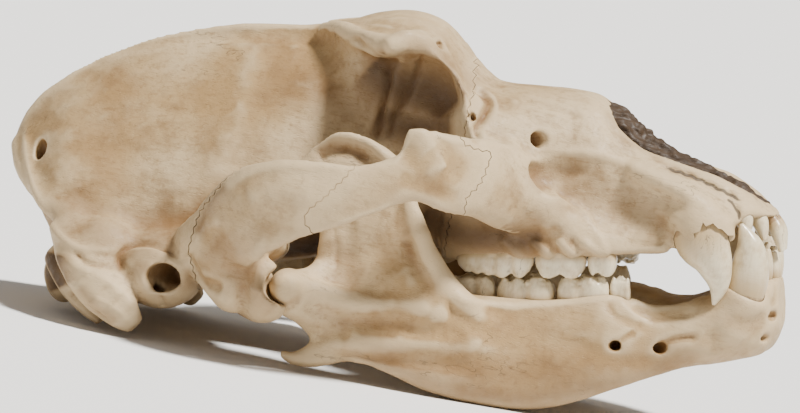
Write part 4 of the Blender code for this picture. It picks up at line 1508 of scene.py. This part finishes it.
@dataclass(frozen=True)
class Peg:
    """A tooth of one root: a canine or an incisor, drawn on the right side from root to tip."""

    name: str
    path: Path
    up: Axis
    enamel: float  # the share of the path where the enamel starts

    def build(self, side: Side) -> Clay:
        """Shapes the tooth.

        Args:
            side: the side that it stands on.

        Returns:
            The tooth.
        """
        rows = [(x, -y * side.value, z, *sizes) for x, y, z, *sizes in self.path]
        rings = limb_rings(rows, self.up, around=56, steps=14)
        tooth = Clay.tube(f"{self.name}_{side.label}", rings)
        tooth.fuse(TOOTH_VOXEL)
        sculptor = Sculptor(tooth)
        sculptor.relax(2)
        sculptor.ripple((9, 9, 26), 0.3, seed=27)
        sculptor.ripple((1.6, 1.6, 14), 0.07, seed=29)
        sculptor.write()
        return tooth

    def crown_share(self, points: np.ndarray) -> np.ndarray:
        """How far along the crown points lie.

        Args:
            points: the points, on either side.

        Returns:
            A share for each, from 0 at the enamel's edge to 1 at the tip.
        """
        path = curve(self.path, 10)[:, :3] * (1, -1, 1)
        wide = points * (1, 0, 1) + np.abs(points[:, 1:2]) * (0, 1, 0)
        near = np.argmin(((wide[:, None] - path) ** 2).sum(axis=2), axis=1)
        return (near / (len(path) - 1) - self.enamel) / (1 - self.enamel)


PEGS = (
    Peg(
        "upper_canine",
        (
            (173, -35, 134, 6.5, 6.5), (181.5, -42, 122, 11.5, 9.5), (188.5, -45, 106.5, 15.8, 11.5),
            (196, -45.5, 92.5, 11.2, 9.5), (198.5, -44, 79.5, 6.4, 5.6), (195.5, -42.5, 67.5, 1.2, 1.2),
        ),
        Axis.ACROSS, 0.3,
    ),
    Peg(
        "lower_canine",
        (
            (198, -27, 44, 7, 7), (206, -30, 58, 10, 9), (212, -32.5, 75, 12.5, 10.5),
            (216, -34.5, 88, 11.5, 9.5), (216, -36.5, 102.5, 8, 7), (211, -38, 115.5, 1.4, 1.4),
        ),
        Axis.ACROSS, 0.38,
    ),
    Peg(
        "upper_first_incisor",
        (
            (221.5, -6.5, 120, 3, 3.4), (225.5, -6.8, 115, 3.6, 4.2),
            (229, -7, 108, 5, 4.4), (231.3, -7, 97, 3.6, 1.7),
        ),
        Axis.ALONG, 0.34,
    ),
    Peg(
        "upper_second_incisor",
        (
            (212.5, -15.5, 126, 3.4, 3.8), (216, -17, 121, 4.2, 4.8),
            (220, -18.2, 115, 5.4, 5), (222.4, -18.6, 104.5, 3.8, 1.9),
        ),
        Axis.ALONG, 0.34,
    ),
    Peg(
        "upper_third_incisor",
        (
            (204.5, -24, 128, 4, 4), (208, -26.5, 123.5, 5, 4.8),
            (211.5, -28, 117.5, 5.6, 5.6), (213, -28.4, 110, 3.6, 3),
        ),
        Axis.ALONG, 0.34,
    ),
    Peg(
        "lower_first_incisor",
        (
            (224, -4.2, 70, 2.6, 4), (225, -4.5, 80, 3, 4.4),
            (226, -4.5, 89, 3.8, 3.4), (226.4, -4.5, 97, 3, 1.5),
        ),
        Axis.ALONG, 0.36,
    ),
    Peg(
        "lower_second_incisor",
        (
            (220.5, -12, 70, 3, 4), (222, -12.5, 81, 3.6, 4.4),
            (223.4, -13, 91, 4.4, 3.6), (223.8, -13, 99, 3.2, 1.7),
        ),
        Axis.ALONG, 0.36,
    ),
    Peg(
        "lower_third_incisor",
        (
            (214.5, -19, 72, 3.6, 4), (217, -19.5, 84, 4.2, 4.4),
            (219, -20.5, 93, 5, 4), (219.8, -20.8, 100.5, 3.2, 2),
        ),
        Axis.ALONG, 0.36,
    ),
)
ABSENT = {("lower_fourth_premolar", Side.LEFT)}  # lost from its socket


# --------------------------------------------------------------------------------------- finishes

Colour = tuple[float, float, float, float]
Socket = bpy.types.NodeSocket
Feed = Socket | float | tuple


class Graph:
    """A node tree that is being wired."""

    def __init__(self, tree: bpy.types.NodeTree) -> None:
        """Takes over a tree."""
        self.tree = tree

    def add(
        self, kind: str, feeds: dict[str | int, Feed] | None = None, **settings: object
    ) -> bpy.types.Node:
        """Adds a node.

        Args:
            kind: its type.
            feeds: what each socket is linked or set to.
            settings: the node's own settings by name.

        Returns:
            The node.
        """
        node = self.tree.nodes.new(kind)
        for key, value in settings.items():
            setattr(node, key, value)
        for key, value in (feeds or {}).items():
            self.feed(node.inputs[key], value)
        return node

    def feed(self, socket: Socket, value: Feed) -> None:
        """Links a socket to another one, or sets it.

        Args:
            socket: the socket.
            value: the other socket, or the value.
        """
        if isinstance(value, Socket):
            self.tree.links.new(value, socket)
        else:
            socket.default_value = value

    def math(self, operation: str, a: Feed, b: Feed = 0.0) -> Socket:
        """A sum on one or two numbers."""
        return self.add("ShaderNodeMath", {0: a, 1: b}, operation=operation).outputs[0]

    def span(self, value: Feed, low: float, high: float, to_low: float = 0, to_high: float = 1) -> Socket:
        """A number stretched from one range to another, smoothly at both ends."""
        feeds = {"Value": value, "From Min": low, "From Max": high, "To Min": to_low, "To Max": to_high}
        return self.add("ShaderNodeMapRange", feeds, interpolation_type="SMOOTHSTEP").outputs[0]

    def mix(self, factor: Feed, a: Feed, b: Feed) -> Socket:
        """Two colours mixed."""
        return self.add("ShaderNodeMix", {0: factor, 6: a, 7: b}, data_type="RGBA").outputs[2]

    def stretch(self, vector: Feed, scale: Row) -> Socket:
        """Coordinates scaled along each axis."""
        return self.add("ShaderNodeMapping", {"Vector": vector, "Scale": scale}).outputs[0]

    def noise(self, vector: Feed, scale: Feed, detail: float = 4, rough: float = 0.55) -> Socket:
        """Fractal noise."""
        feeds = {"Vector": vector, "Scale": scale, "Detail": detail, "Roughness": rough}
        return self.add("ShaderNodeTexNoise", feeds).outputs["Fac"]

    def attribute(self, name: str) -> Socket:
        """A value painted on the mesh."""
        return self.add("ShaderNodeAttribute", attribute_name=name).outputs["Fac"]


def new_group(
    name: str, inputs: dict[str, str], outputs: dict[str, str]
) -> tuple[Graph, bpy.types.Node, bpy.types.Node]:
    """An empty node group with its sockets.

    Args:
        name: the group's name.
        inputs: each input's socket type by name.
        outputs: each output's socket type by name.

    Returns:
        The graph, its input node and its output node.
    """
    tree = bpy.data.node_groups.new(name, "ShaderNodeTree")
    for direction, sockets in (("INPUT", inputs), ("OUTPUT", outputs)):
        for socket, kind in sockets.items():
            tree.interface.new_socket(socket, in_out=direction, socket_type=f"NodeSocket{kind}")
    graph = Graph(tree)
    return graph, graph.add("NodeGroupInput"), graph.add("NodeGroupOutput")


def crack_group() -> bpy.types.NodeTree:
    """Hair-fine drying cracks that wander along the coordinates' long axis and break off.

    Returns:
        The group, whose Crack is 1 in a crack.
    """
    graph, given, out = new_group(
        "drying_cracks", {"Vector": "Vector", "Scale": "Float", "Width": "Float"}, {"Crack": "Float"}
    )
    vector, scale = given.outputs["Vector"], given.outputs["Scale"]
    level = graph.math("ABSOLUTE", graph.math("SUBTRACT", graph.noise(vector, scale, 3.0, 0.62), 0.5))
    line = graph.math("LESS_THAN", level, given.outputs["Width"])
    patches = graph.span(graph.noise(vector, 34.0, 2.0), 0.55, 0.64)
    graph.feed(out.inputs["Crack"], graph.math("MULTIPLY", line, patches))
    return graph.tree


def grain_group() -> bpy.types.NodeTree:
    """The fibre of bone or enamel.

    Returns:
        The group, whose Streak runs along the coordinates' long axis and whose Pore is 1 in a pore.
    """
    graph, given, out = new_group(
        "fibre", {"Vector": "Vector", "Fineness": "Float"}, {"Streak": "Float", "Pore": "Float"}
    )
    vector, fine = given.outputs["Vector"], given.outputs["Fineness"]
    pores = graph.add("ShaderNodeTexVoronoi", {"Vector": vector, "Scale": graph.math("MULTIPLY", fine, 2.2)})
    graph.feed(out.inputs["Streak"], graph.noise(vector, fine, 5.0, 0.6))
    graph.feed(out.inputs["Pore"], graph.span(pores.outputs["Distance"], 0.12, 0.3, 1, 0))
    return graph.tree


@dataclass
class Finish:
    """A material under way, with the texture groups that the finishes share."""

    name: str
    cracks: bpy.types.NodeTree
    fibre: bpy.types.NodeTree

    def __post_init__(self) -> None:
        """Starts the material."""
        self.material = bpy.data.materials.new(self.name)
        self.material.use_nodes = True
        self.graph = Graph(self.material.node_tree)
        self.shader = self.graph.tree.nodes["Principled BSDF"]
        self.place = self.graph.add("ShaderNodeTexCoord").outputs["Object"]

    def texture(self, group: bpy.types.NodeTree, stretch: Row, **values: float) -> bpy.types.Node:
        """Places a texture group.

        Args:
            group: the group.
            stretch: the scale of its coordinates along each axis.
            values: its other inputs by name.

        Returns:
            The group's node.
        """
        node = self.graph.add("ShaderNodeGroup", node_tree=group)
        self.graph.feed(node.inputs["Vector"], self.graph.stretch(self.place, stretch))
        for name, value in values.items():
            node.inputs[name].default_value = value
        return node

    def relief(self, height: Socket, strength: float, depth: float) -> None:
        """Gives the shader a bump of a depth in metres."""
        bump = self.graph.add("ShaderNodeBump", {"Height": height, "Strength": strength, "Distance": depth})
        self.graph.feed(self.shader.inputs["Normal"], bump.outputs[0])


@dataclass(frozen=True)
class BoneFinish:
    """Old bone: cream on worn edges, also a painted highlight; ochre faces; earth stain and painted shade in
    hollows and beneath.
    """

    pale: Colour = (0.56, 0.425, 0.25, 1)
    warm: Colour = (0.37, 0.235, 0.10, 1)
    mid: Colour = (0.235, 0.138, 0.055, 1)
    # the brown of the earth stain and of the painted shade in hollows, creases and under the bone
    stain: Colour = (0.17, 0.082, 0.024, 1)
    # near black: the painted shadow in the deepest hollows and under the bone, and the cracks and sutures
    dark: Colour = (0.022, 0.013, 0.007, 1)
    rough: float = 0.58

    def colour(self, graph: Graph, place: Socket, streak: Socket) -> Socket:
        """The stained and worn colour, with its painted shade and highlight, before its cracks.

        Args:
            graph: the material's graph.
            place: the object's coordinates.
            streak: the bone's fibre.

        Returns:
            The colour.
        """
        broad, fine, earth = (graph.attribute(key) for key in ("hollow_broad", "hollow_fine", "earth"))
        cloud, blotch = graph.noise(place, 9.0, 4.0, 0.55), graph.noise(place, 34.0, 6.0, 0.62)
        speck = graph.noise(place, 230.0, 4.0, 0.65)
        colour = graph.mix(graph.span(cloud, 0.38, 0.64), self.pale, self.warm)
        colour = graph.mix(graph.span(blotch, 0.46, 0.70, 0, 0.75), colour, self.mid)
        colour = graph.mix(graph.span(speck, 0.5, 0.74, 0, 0.5), colour, self.mid)
        colour = graph.mix(graph.span(streak, 0.5, 0.72, 0, 0.45), colour, self.mid)
        # ridges and edges turn paler: wear, together with a painted highlight
        colour = graph.mix(graph.span(fine, -0.05, -0.42, 0, 0.85), colour, self.pale)
        colour = graph.mix(graph.span(broad, -0.3, -2.4, 0, 0.8), colour, self.pale)
        # broad hollows darken towards brown: earth stain and painted shade
        sunk = graph.math("MULTIPLY", graph.span(broad, 0.2, 5.0), graph.span(blotch, 0.2, 0.6, 0.7, 1))
        colour = graph.mix(graph.math("MULTIPLY", sunk, 0.85), colour, self.stain)
        # narrow creases darken towards brown: earth stain and painted shade
        crease = graph.math("MULTIPLY", graph.span(fine, 0.08, 1.3), graph.span(speck, 0.3, 0.6, 0.5, 1))
        colour = graph.mix(graph.math("MULTIPLY", crease, 0.8), colour, self.stain)
        # painted shadow: the deepest hollows go nearly black
        deep = graph.span(broad, 4.0, 9.0, 0, 0.9)
        colour = graph.mix(deep, colour, self.dark)
        # earth stain and painted shade under the bone and in the shadowed parts that the strokes mark, in
        # brown
        patchy = graph.math("ADD", earth, graph.math("MULTIPLY", graph.math("SUBTRACT", blotch, 0.5), 0.35))
        soiled_and_shaded = graph.math("MULTIPLY", graph.span(earth, 0.0, 0.12), graph.span(patchy, 0.0, 0.95, 0, 0.88))
        colour = graph.mix(soiled_and_shaded, colour, self.stain)
        # where that is strong it goes nearly black: painted shadow over caked earth
        unevenness = graph.span(speck, 0.25, 0.65, 1, 0.9)
        caked_and_shaded = graph.math("MULTIPLY", graph.span(earth, 0.5, 1.0, 0, 0.95), unevenness)
        return graph.mix(caked_and_shaded, colour, self.dark)

    def make(self, finish: Finish) -> bpy.types.Material:
        """Wires the bone's material.

        Args:
            finish: the material under way.

        Returns:
            The finished material.
        """
        graph, shader, place = finish.graph, finish.shader, finish.place
        grain = finish.texture(finish.fibre, (0.2, 1, 1), Fineness=420)
        crack = finish.texture(finish.cracks, (0.14, 1, 1), Scale=70, Width=0.0045)
        colour = self.colour(graph, place, grain.outputs["Streak"])
        seam = graph.span(graph.attribute("seam"), 0.3, 0.8, 0, 0.8)
        lines = graph.math("MAXIMUM", graph.math("MULTIPLY", crack.outputs["Crack"], 0.4), seam)
        graph.feed(shader.inputs["Base Color"], graph.mix(lines, colour, self.dark))
        speck = graph.noise(place, 210.0, 4.0, 0.65)
        rough = graph.span(speck, 0.3, 0.7, self.rough - 0.1, self.rough + 0.16)
        graph.feed(shader.inputs["Roughness"], rough)
        height = graph.math("MULTIPLY", grain.outputs["Streak"], 0.8)
        height = graph.math("SUBTRACT", height, graph.math("MULTIPLY", grain.outputs["Pore"], 0.5))
        height = graph.math("ADD", height, graph.math("MULTIPLY", speck, 1.3))
        height = graph.math("SUBTRACT", height, graph.math("MULTIPLY", lines, 1.2))
        finish.relief(height, 0.6, 0.0005)
        shader.inputs["Specular IOR Level"].default_value = 0.35
        return finish.material


@dataclass(frozen=True)
class EnamelFinish:
    """Ivory enamel, glossy at the tip, browned towards the neck, over a dull brown root."""

    ivory: Colour = (0.74, 0.64, 0.44, 1)
    tan: Colour = (0.44, 0.30, 0.14, 1)
    root: Colour = (0.30, 0.19, 0.09, 1)
    dark: Colour = (0.06, 0.034, 0.016, 1)

    def make(self, finish: Finish) -> bpy.types.Material:
        """Wires the enamel's material.

        Args:
            finish: the material under way.

        Returns:
            The finished material.
        """
        graph, shader = finish.graph, finish.shader
        grain = finish.texture(finish.fibre, (1, 1, 0.16), Fineness=700)
        crack = finish.texture(finish.cracks, (1, 1, 0.22), Scale=170, Width=0.006)
        crown, fine = graph.attribute("crown"), graph.attribute("hollow_fine")
        cloud = graph.noise(finish.place, 130.0, 5.0, 0.6)
        edge = graph.math("ADD", crown, graph.math("MULTIPLY", graph.math("SUBTRACT", cloud, 0.5), 0.3))
        colour = graph.mix(graph.span(cloud, 0.4, 0.75, 0, 0.6), self.ivory, self.tan)
        colour = graph.mix(graph.span(edge, 0.5, 0.08, 0, 0.85), colour, self.tan)
        colour = graph.mix(graph.span(edge, 0.06, 0.0), colour, self.root)
        streak = graph.span(grain.outputs["Streak"], 0.5, 0.75)
        colour = graph.mix(graph.math("MULTIPLY", streak, 0.35), colour, self.tan)
        # grooves between the cusps darken: stain, together with painted shade
        colour = graph.mix(graph.span(fine, 0.03, 0.42, 0, 0.9), colour, self.dark)
        colour = graph.mix(graph.math("MULTIPLY", crack.outputs["Crack"], 0.6), colour, self.dark)
        graph.feed(shader.inputs["Base Color"], colour)
        gloss = graph.span(edge, 0.0, 0.3, 0.55, 0.24)
        graph.feed(shader.inputs["Roughness"], graph.math("ADD", gloss, graph.math("MULTIPLY", cloud, 0.12)))
        height = graph.math("MULTIPLY", grain.outputs["Streak"], 0.6)
        height = graph.math("SUBTRACT", height, crack.outputs["Crack"])
        finish.relief(height, 0.3, 0.00025)
        shader.inputs["Coat Weight"].default_value = 0.25
        shader.inputs["Coat Roughness"].default_value = 0.2
        return finish.material


@dataclass(frozen=True)
class PaperFloor:
    """A plain pale floor."""

    colour: Colour = (0.86, 0.855, 0.84, 1)

    def make(self) -> bpy.types.Material:
        """Wires the floor's material, with the faint tooth of paper.

        Returns:
            The material.
        """
        material = bpy.data.materials.new("pale_floor")
        material.use_nodes = True
        graph = Graph(material.node_tree)
        shader = graph.tree.nodes["Principled BSDF"]
        shader.inputs["Base Color"].default_value = self.colour
        shader.inputs["Roughness"].default_value = 0.9
        place = graph.add("ShaderNodeTexCoord").outputs["Object"]
        bump = graph.add(
            "ShaderNodeBump", {"Height": graph.noise(place, 900.0), "Strength": 0.05, "Distance": 0.0002}
        )
        graph.feed(shader.inputs["Normal"], bump.outputs[0])
        return material


# ------------------------------------------------------------------------- standing, dressing, light


@dataclass(frozen=True)
class Stand:
    """How the skull frame, in millimetres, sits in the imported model's frame, in metres."""

    place: Matrix
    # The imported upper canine, as rows of x, y, z, half-width and half-height.
    canine: ClassVar[Path] = (
        (183, -43, 124, 10, 9), (189.5, -45, 106.5, 15, 12), (195.5, -45.5, 92.5, 11, 9.5),
        (197.5, -44, 79.5, 6.2, 5.6), (194, -42.5, 67, 1.4, 1.4),
    )

    @classmethod
    def from_model(cls) -> "Stand":
        """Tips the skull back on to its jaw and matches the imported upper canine.

        Returns:
            The stand.
        """
        fall = (JAW_HEEL[1] - JAW_BELLY[1]) / (JAW_BELLY[0] - JAW_HEEL[0])
        tip = Matrix.Rotation(-math.atan(fall), 4, "Y")
        rings = limb_rings(cls.canine, Axis.ACROSS, around=10, steps=3).reshape(-1, 3)
        turned = rings @ np.array(tip.to_3x3()).T
        shift = Vector(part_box("upper_canine_right")[0]) - Vector(turned.min(axis=0) * MM)
        shift.y = 0
        return cls(Matrix.Translation(shift) @ Matrix.Scale(MM, 4) @ tip)


@dataclass
class Dresser:
    """Finishes each shaped body as a piece of the scene."""

    stand: Stand
    materials: dict[str, bpy.types.Material]
    made: int = 0

    def bone(self, name: str, clay: Clay, nodes: Sequence[str], owner: type | None = None) -> None:
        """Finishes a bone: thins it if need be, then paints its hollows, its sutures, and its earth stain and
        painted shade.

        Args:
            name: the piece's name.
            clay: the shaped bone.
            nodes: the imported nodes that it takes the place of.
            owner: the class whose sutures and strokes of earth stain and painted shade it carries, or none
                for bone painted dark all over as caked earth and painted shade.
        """
        clay.thing.data.calc_loop_triangles()
        triangles = len(clay.thing.data.loop_triangles)
        if triangles > MOST_TRIANGLES:
            clay.apply("DECIMATE", ratio=MOST_TRIANGLES / triangles, use_collapse_triangulate=True)
        sculptor = Sculptor(clay)
        sculptor.paint("hollow_fine", sculptor.hollowness(scaled_rounds(8, power=1)))
        sculptor.paint("hollow_broad", sculptor.hollowness(scaled_rounds(90)))
        seam = np.zeros(sculptor.count)
        if owner is Cranium:
            for index, suture in enumerate(Cranium.sutures):
                path = zigzag(suture.line, size=0.6, pitch=3.2, seed=50 + index)
                chosen, weight = sculptor.reached(suture, path)
                seam[chosen] = np.maximum(seam[chosen], weight)
            sculptor.lift(Cranium.sutures[0].lift * seam)
            sculptor.write()
        sculptor.paint("seam", seam)
        # without an owner the bone is dark all over: caked earth and painted shade
        earth = np.full(sculptor.count, 1.0)
        if owner:
            # faces that look down are painted darker: painted shade under the bone, with earth stain
            earth = 0.5 * np.clip(0.1 - 0.9 * sculptor.normals()[:, 2], 0, 1)
            for stroke in owner.soil:
                chosen, weight = sculptor.reached(stroke, stroke.line)
                earth[chosen] = np.maximum(earth[chosen], stroke.lift * weight)
        sculptor.paint("earth", earth)
        self.dress(name, clay, nodes, "bone")

    def tooth(self, name: str, clay: Clay, node: str, shape: CheekTooth | Peg) -> None:
        """Finishes a tooth: paints its crown and the grooves between its cusps.

        Args:
            name: the piece's name.
            clay: the shaped tooth.
            node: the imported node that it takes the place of, or of a part of.
            shape: its sizes.
        """
        sculptor = Sculptor(clay)
        sculptor.paint("hollow_fine", sculptor.hollowness(round(10 * FULL_TOOTH_VOXEL / TOOTH_VOXEL)))
        sculptor.paint("crown", shape.crown_share(sculptor.points))
        self.dress(name, clay, [node], "enamel")

    def dress(self, name: str, clay: Clay, nodes: Sequence[str], slot: str) -> None:
        """Places a body in the model's frame, and gives it its material and its part in the model.

        Args:
            name: the piece's name.
            clay: the painted body.
            nodes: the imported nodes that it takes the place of.
            slot: its material slot.
        """
        thing = clay.thing
        thing.name = name
        thing.data.name = name
        thing.data.transform(self.stand.place)
        points = clay.points()
        points[:, 2] = np.maximum(points[:, 2], 0)  # nothing dips under the floor
        thing.data.vertices.foreach_set("co", points.ravel())
        clay.pick()
        bpy.ops.object.shade_smooth_by_angle(angle=CREASE_ANGLE)
        thing.data.materials.clear()
        thing.data.materials.append(self.materials[slot])
        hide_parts(*nodes)
        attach(thing, BODY)
        self.made += 1
        thing.data.calc_loop_triangles()
        log.info("%s: %d triangles", name, len(thing.data.loop_triangles))


@dataclass
class Studio:
    """The floor, the light and the camera."""

    stand: Stand
    distance: float = 5.0  # from the camera to the skull, in metres
    frame_width: float = 0.48  # what the camera sees across at that distance, in metres
    sensor: float = 36.0  # in millimetres
    middle: float = 206.5  # the row of the side sheet that the camera looks at
    daylight: Colour = (1, 0.985, 0.96, 1)

    def build(self) -> None:
        """Sets the studio up round the skull."""
        deselect()
        bpy.ops.mesh.primitive_plane_add(size=24)
        floor = bpy.context.object
        floor.name = "floor"
        floor.data.materials.append(PaperFloor().make())
        turn = self.stand.place.to_3x3().normalized()
        right, up, toward = (turn @ axis for axis in SHEET.axes)
        centre = self.stand.place @ (SHEET.axes[1] * (SHEET.origin[1] - self.middle) * SHEET.square)
        lens = bpy.data.cameras.new("camera")
        lens.sensor_width = self.sensor
        lens.lens = self.sensor * self.distance / self.frame_width
        lens.clip_end = 100
        camera = bpy.data.objects.new("camera", lens)
        camera.matrix_world = Matrix.Translation(centre + toward * self.distance) @ (
            Matrix((right, up, toward)).transposed().to_4x4()
        )
        bpy.context.scene.collection.objects.link(camera)
        bpy.context.scene.camera = camera
        self.sun(right * 0.7 + up * 1.0 + toward * 0.45, strength=8.2, spread=9)
        self.fill(centre, right * -0.9 + up * 0.3 + toward * 1.2, away=2.6, size=2.2, power=3)
        world = bpy.context.scene.world or bpy.data.worlds.new("world")
        bpy.context.scene.world = world
        world.use_nodes = True
        sky = world.node_tree.nodes["Background"]
        sky.inputs["Color"].default_value = self.daylight
        sky.inputs["Strength"].default_value = 0.3

    def sun(self, toward: Vector, strength: float, spread: float) -> None:
        """Adds the key light, which is even over the whole floor.

        Args:
            toward: the direction that it comes from.
            strength: its strength.
            spread: how far across it looks, in degrees, which softens its shadows.
        """
        lamp = bpy.data.lights.new("key", "SUN")
        lamp.energy, lamp.angle, lamp.color = strength, math.radians(spread), (1.0, 0.975, 0.94)
        thing = bpy.data.objects.new("key", lamp)
        thing.rotation_euler = toward.to_track_quat("Z", "Y").to_euler()
        bpy.context.scene.collection.objects.link(thing)

    def fill(self, centre: Vector, toward: Vector, away: float, size: float, power: float) -> None:
        """Adds a soft square light that looks at the skull.

        Args:
            centre: what it looks at.
            toward: the direction that it comes from.
            away: its distance, in metres.
            size: its width, in metres.
            power: its power, in watts.
        """
        lamp = bpy.data.lights.new("fill", "AREA")
        lamp.size, lamp.energy = size, power
        thing = bpy.data.objects.new("fill", lamp)
        thing.location = centre + toward.normalized() * away
        thing.rotation_euler = toward.to_track_quat("Z", "Y").to_euler()
        bpy.context.scene.collection.objects.link(thing)


def main() -> None:
    """Builds the skull's bones and teeth and the studio."""
    logging.basicConfig(level=logging.INFO, format="%(name)s: %(message)s")
    stand = Stand.from_model()
    cracks, fibre = crack_group(), grain_group()
    dresser = Dresser(
        stand,
        {
            "bone": BoneFinish().make(Finish("old_bone", cracks, fibre)),
            "enamel": EnamelFinish().make(Finish("ivory_enamel", cracks, fibre)),
        },
    )
    teeth: dict[tuple[str, Side], Clay] = {
        (tooth.name, side): tooth.build(side)
        for side in Side
        for tooth in (*CHEEK_TEETH, *PEGS)
        if (tooth.name, side) not in ABSENT
    }
    cranium = Cranium()
    bones = cranium.part(cranium.shape())
    upper = [clay for (name, _), clay in teeth.items() if name.startswith("upper")]
    bones["face"] = cranium.bare_canines(bones["face"].cut(sockets(upper))).loose()[0]
    for name, bone in bones.items():
        dresser.bone(f"bone_{name}", bone, [name], Cranium)
    # the scroll bones are painted dark all over: caked earth and painted shade inside the nose
    dresser.bone("bone_nose_scrolls", cranium.scroll_mass(), ["face"])
    for side in Side:
        lower = [clay for (name, at), clay in teeth.items() if name.startswith("lower") and at is side]
        jaw = Jaw(side).build().cut(sockets(lower)).loose()[0]
        dresser.bone(f"bone_jaw_{side.label}", jaw, [f"jaw_{side.label}"], Jaw)
    for shape in (*CHEEK_TEETH, *PEGS):
        for side in Side:
            if (shape.name, side) in ABSENT:
                continue
            node = "face" if shape.name.startswith("upper") else f"jaw_{side.label}"
            if shape.name.endswith("canine"):
                node = f"{shape.name}_{side.label}"
            dresser.tooth(f"tooth_{shape.name}_{side.label}", teeth[shape.name, side], node, shape)
    Studio(stand).build()
    log.info("%d pieces", dresser.made)


if __name__ == "__main__":
    main()
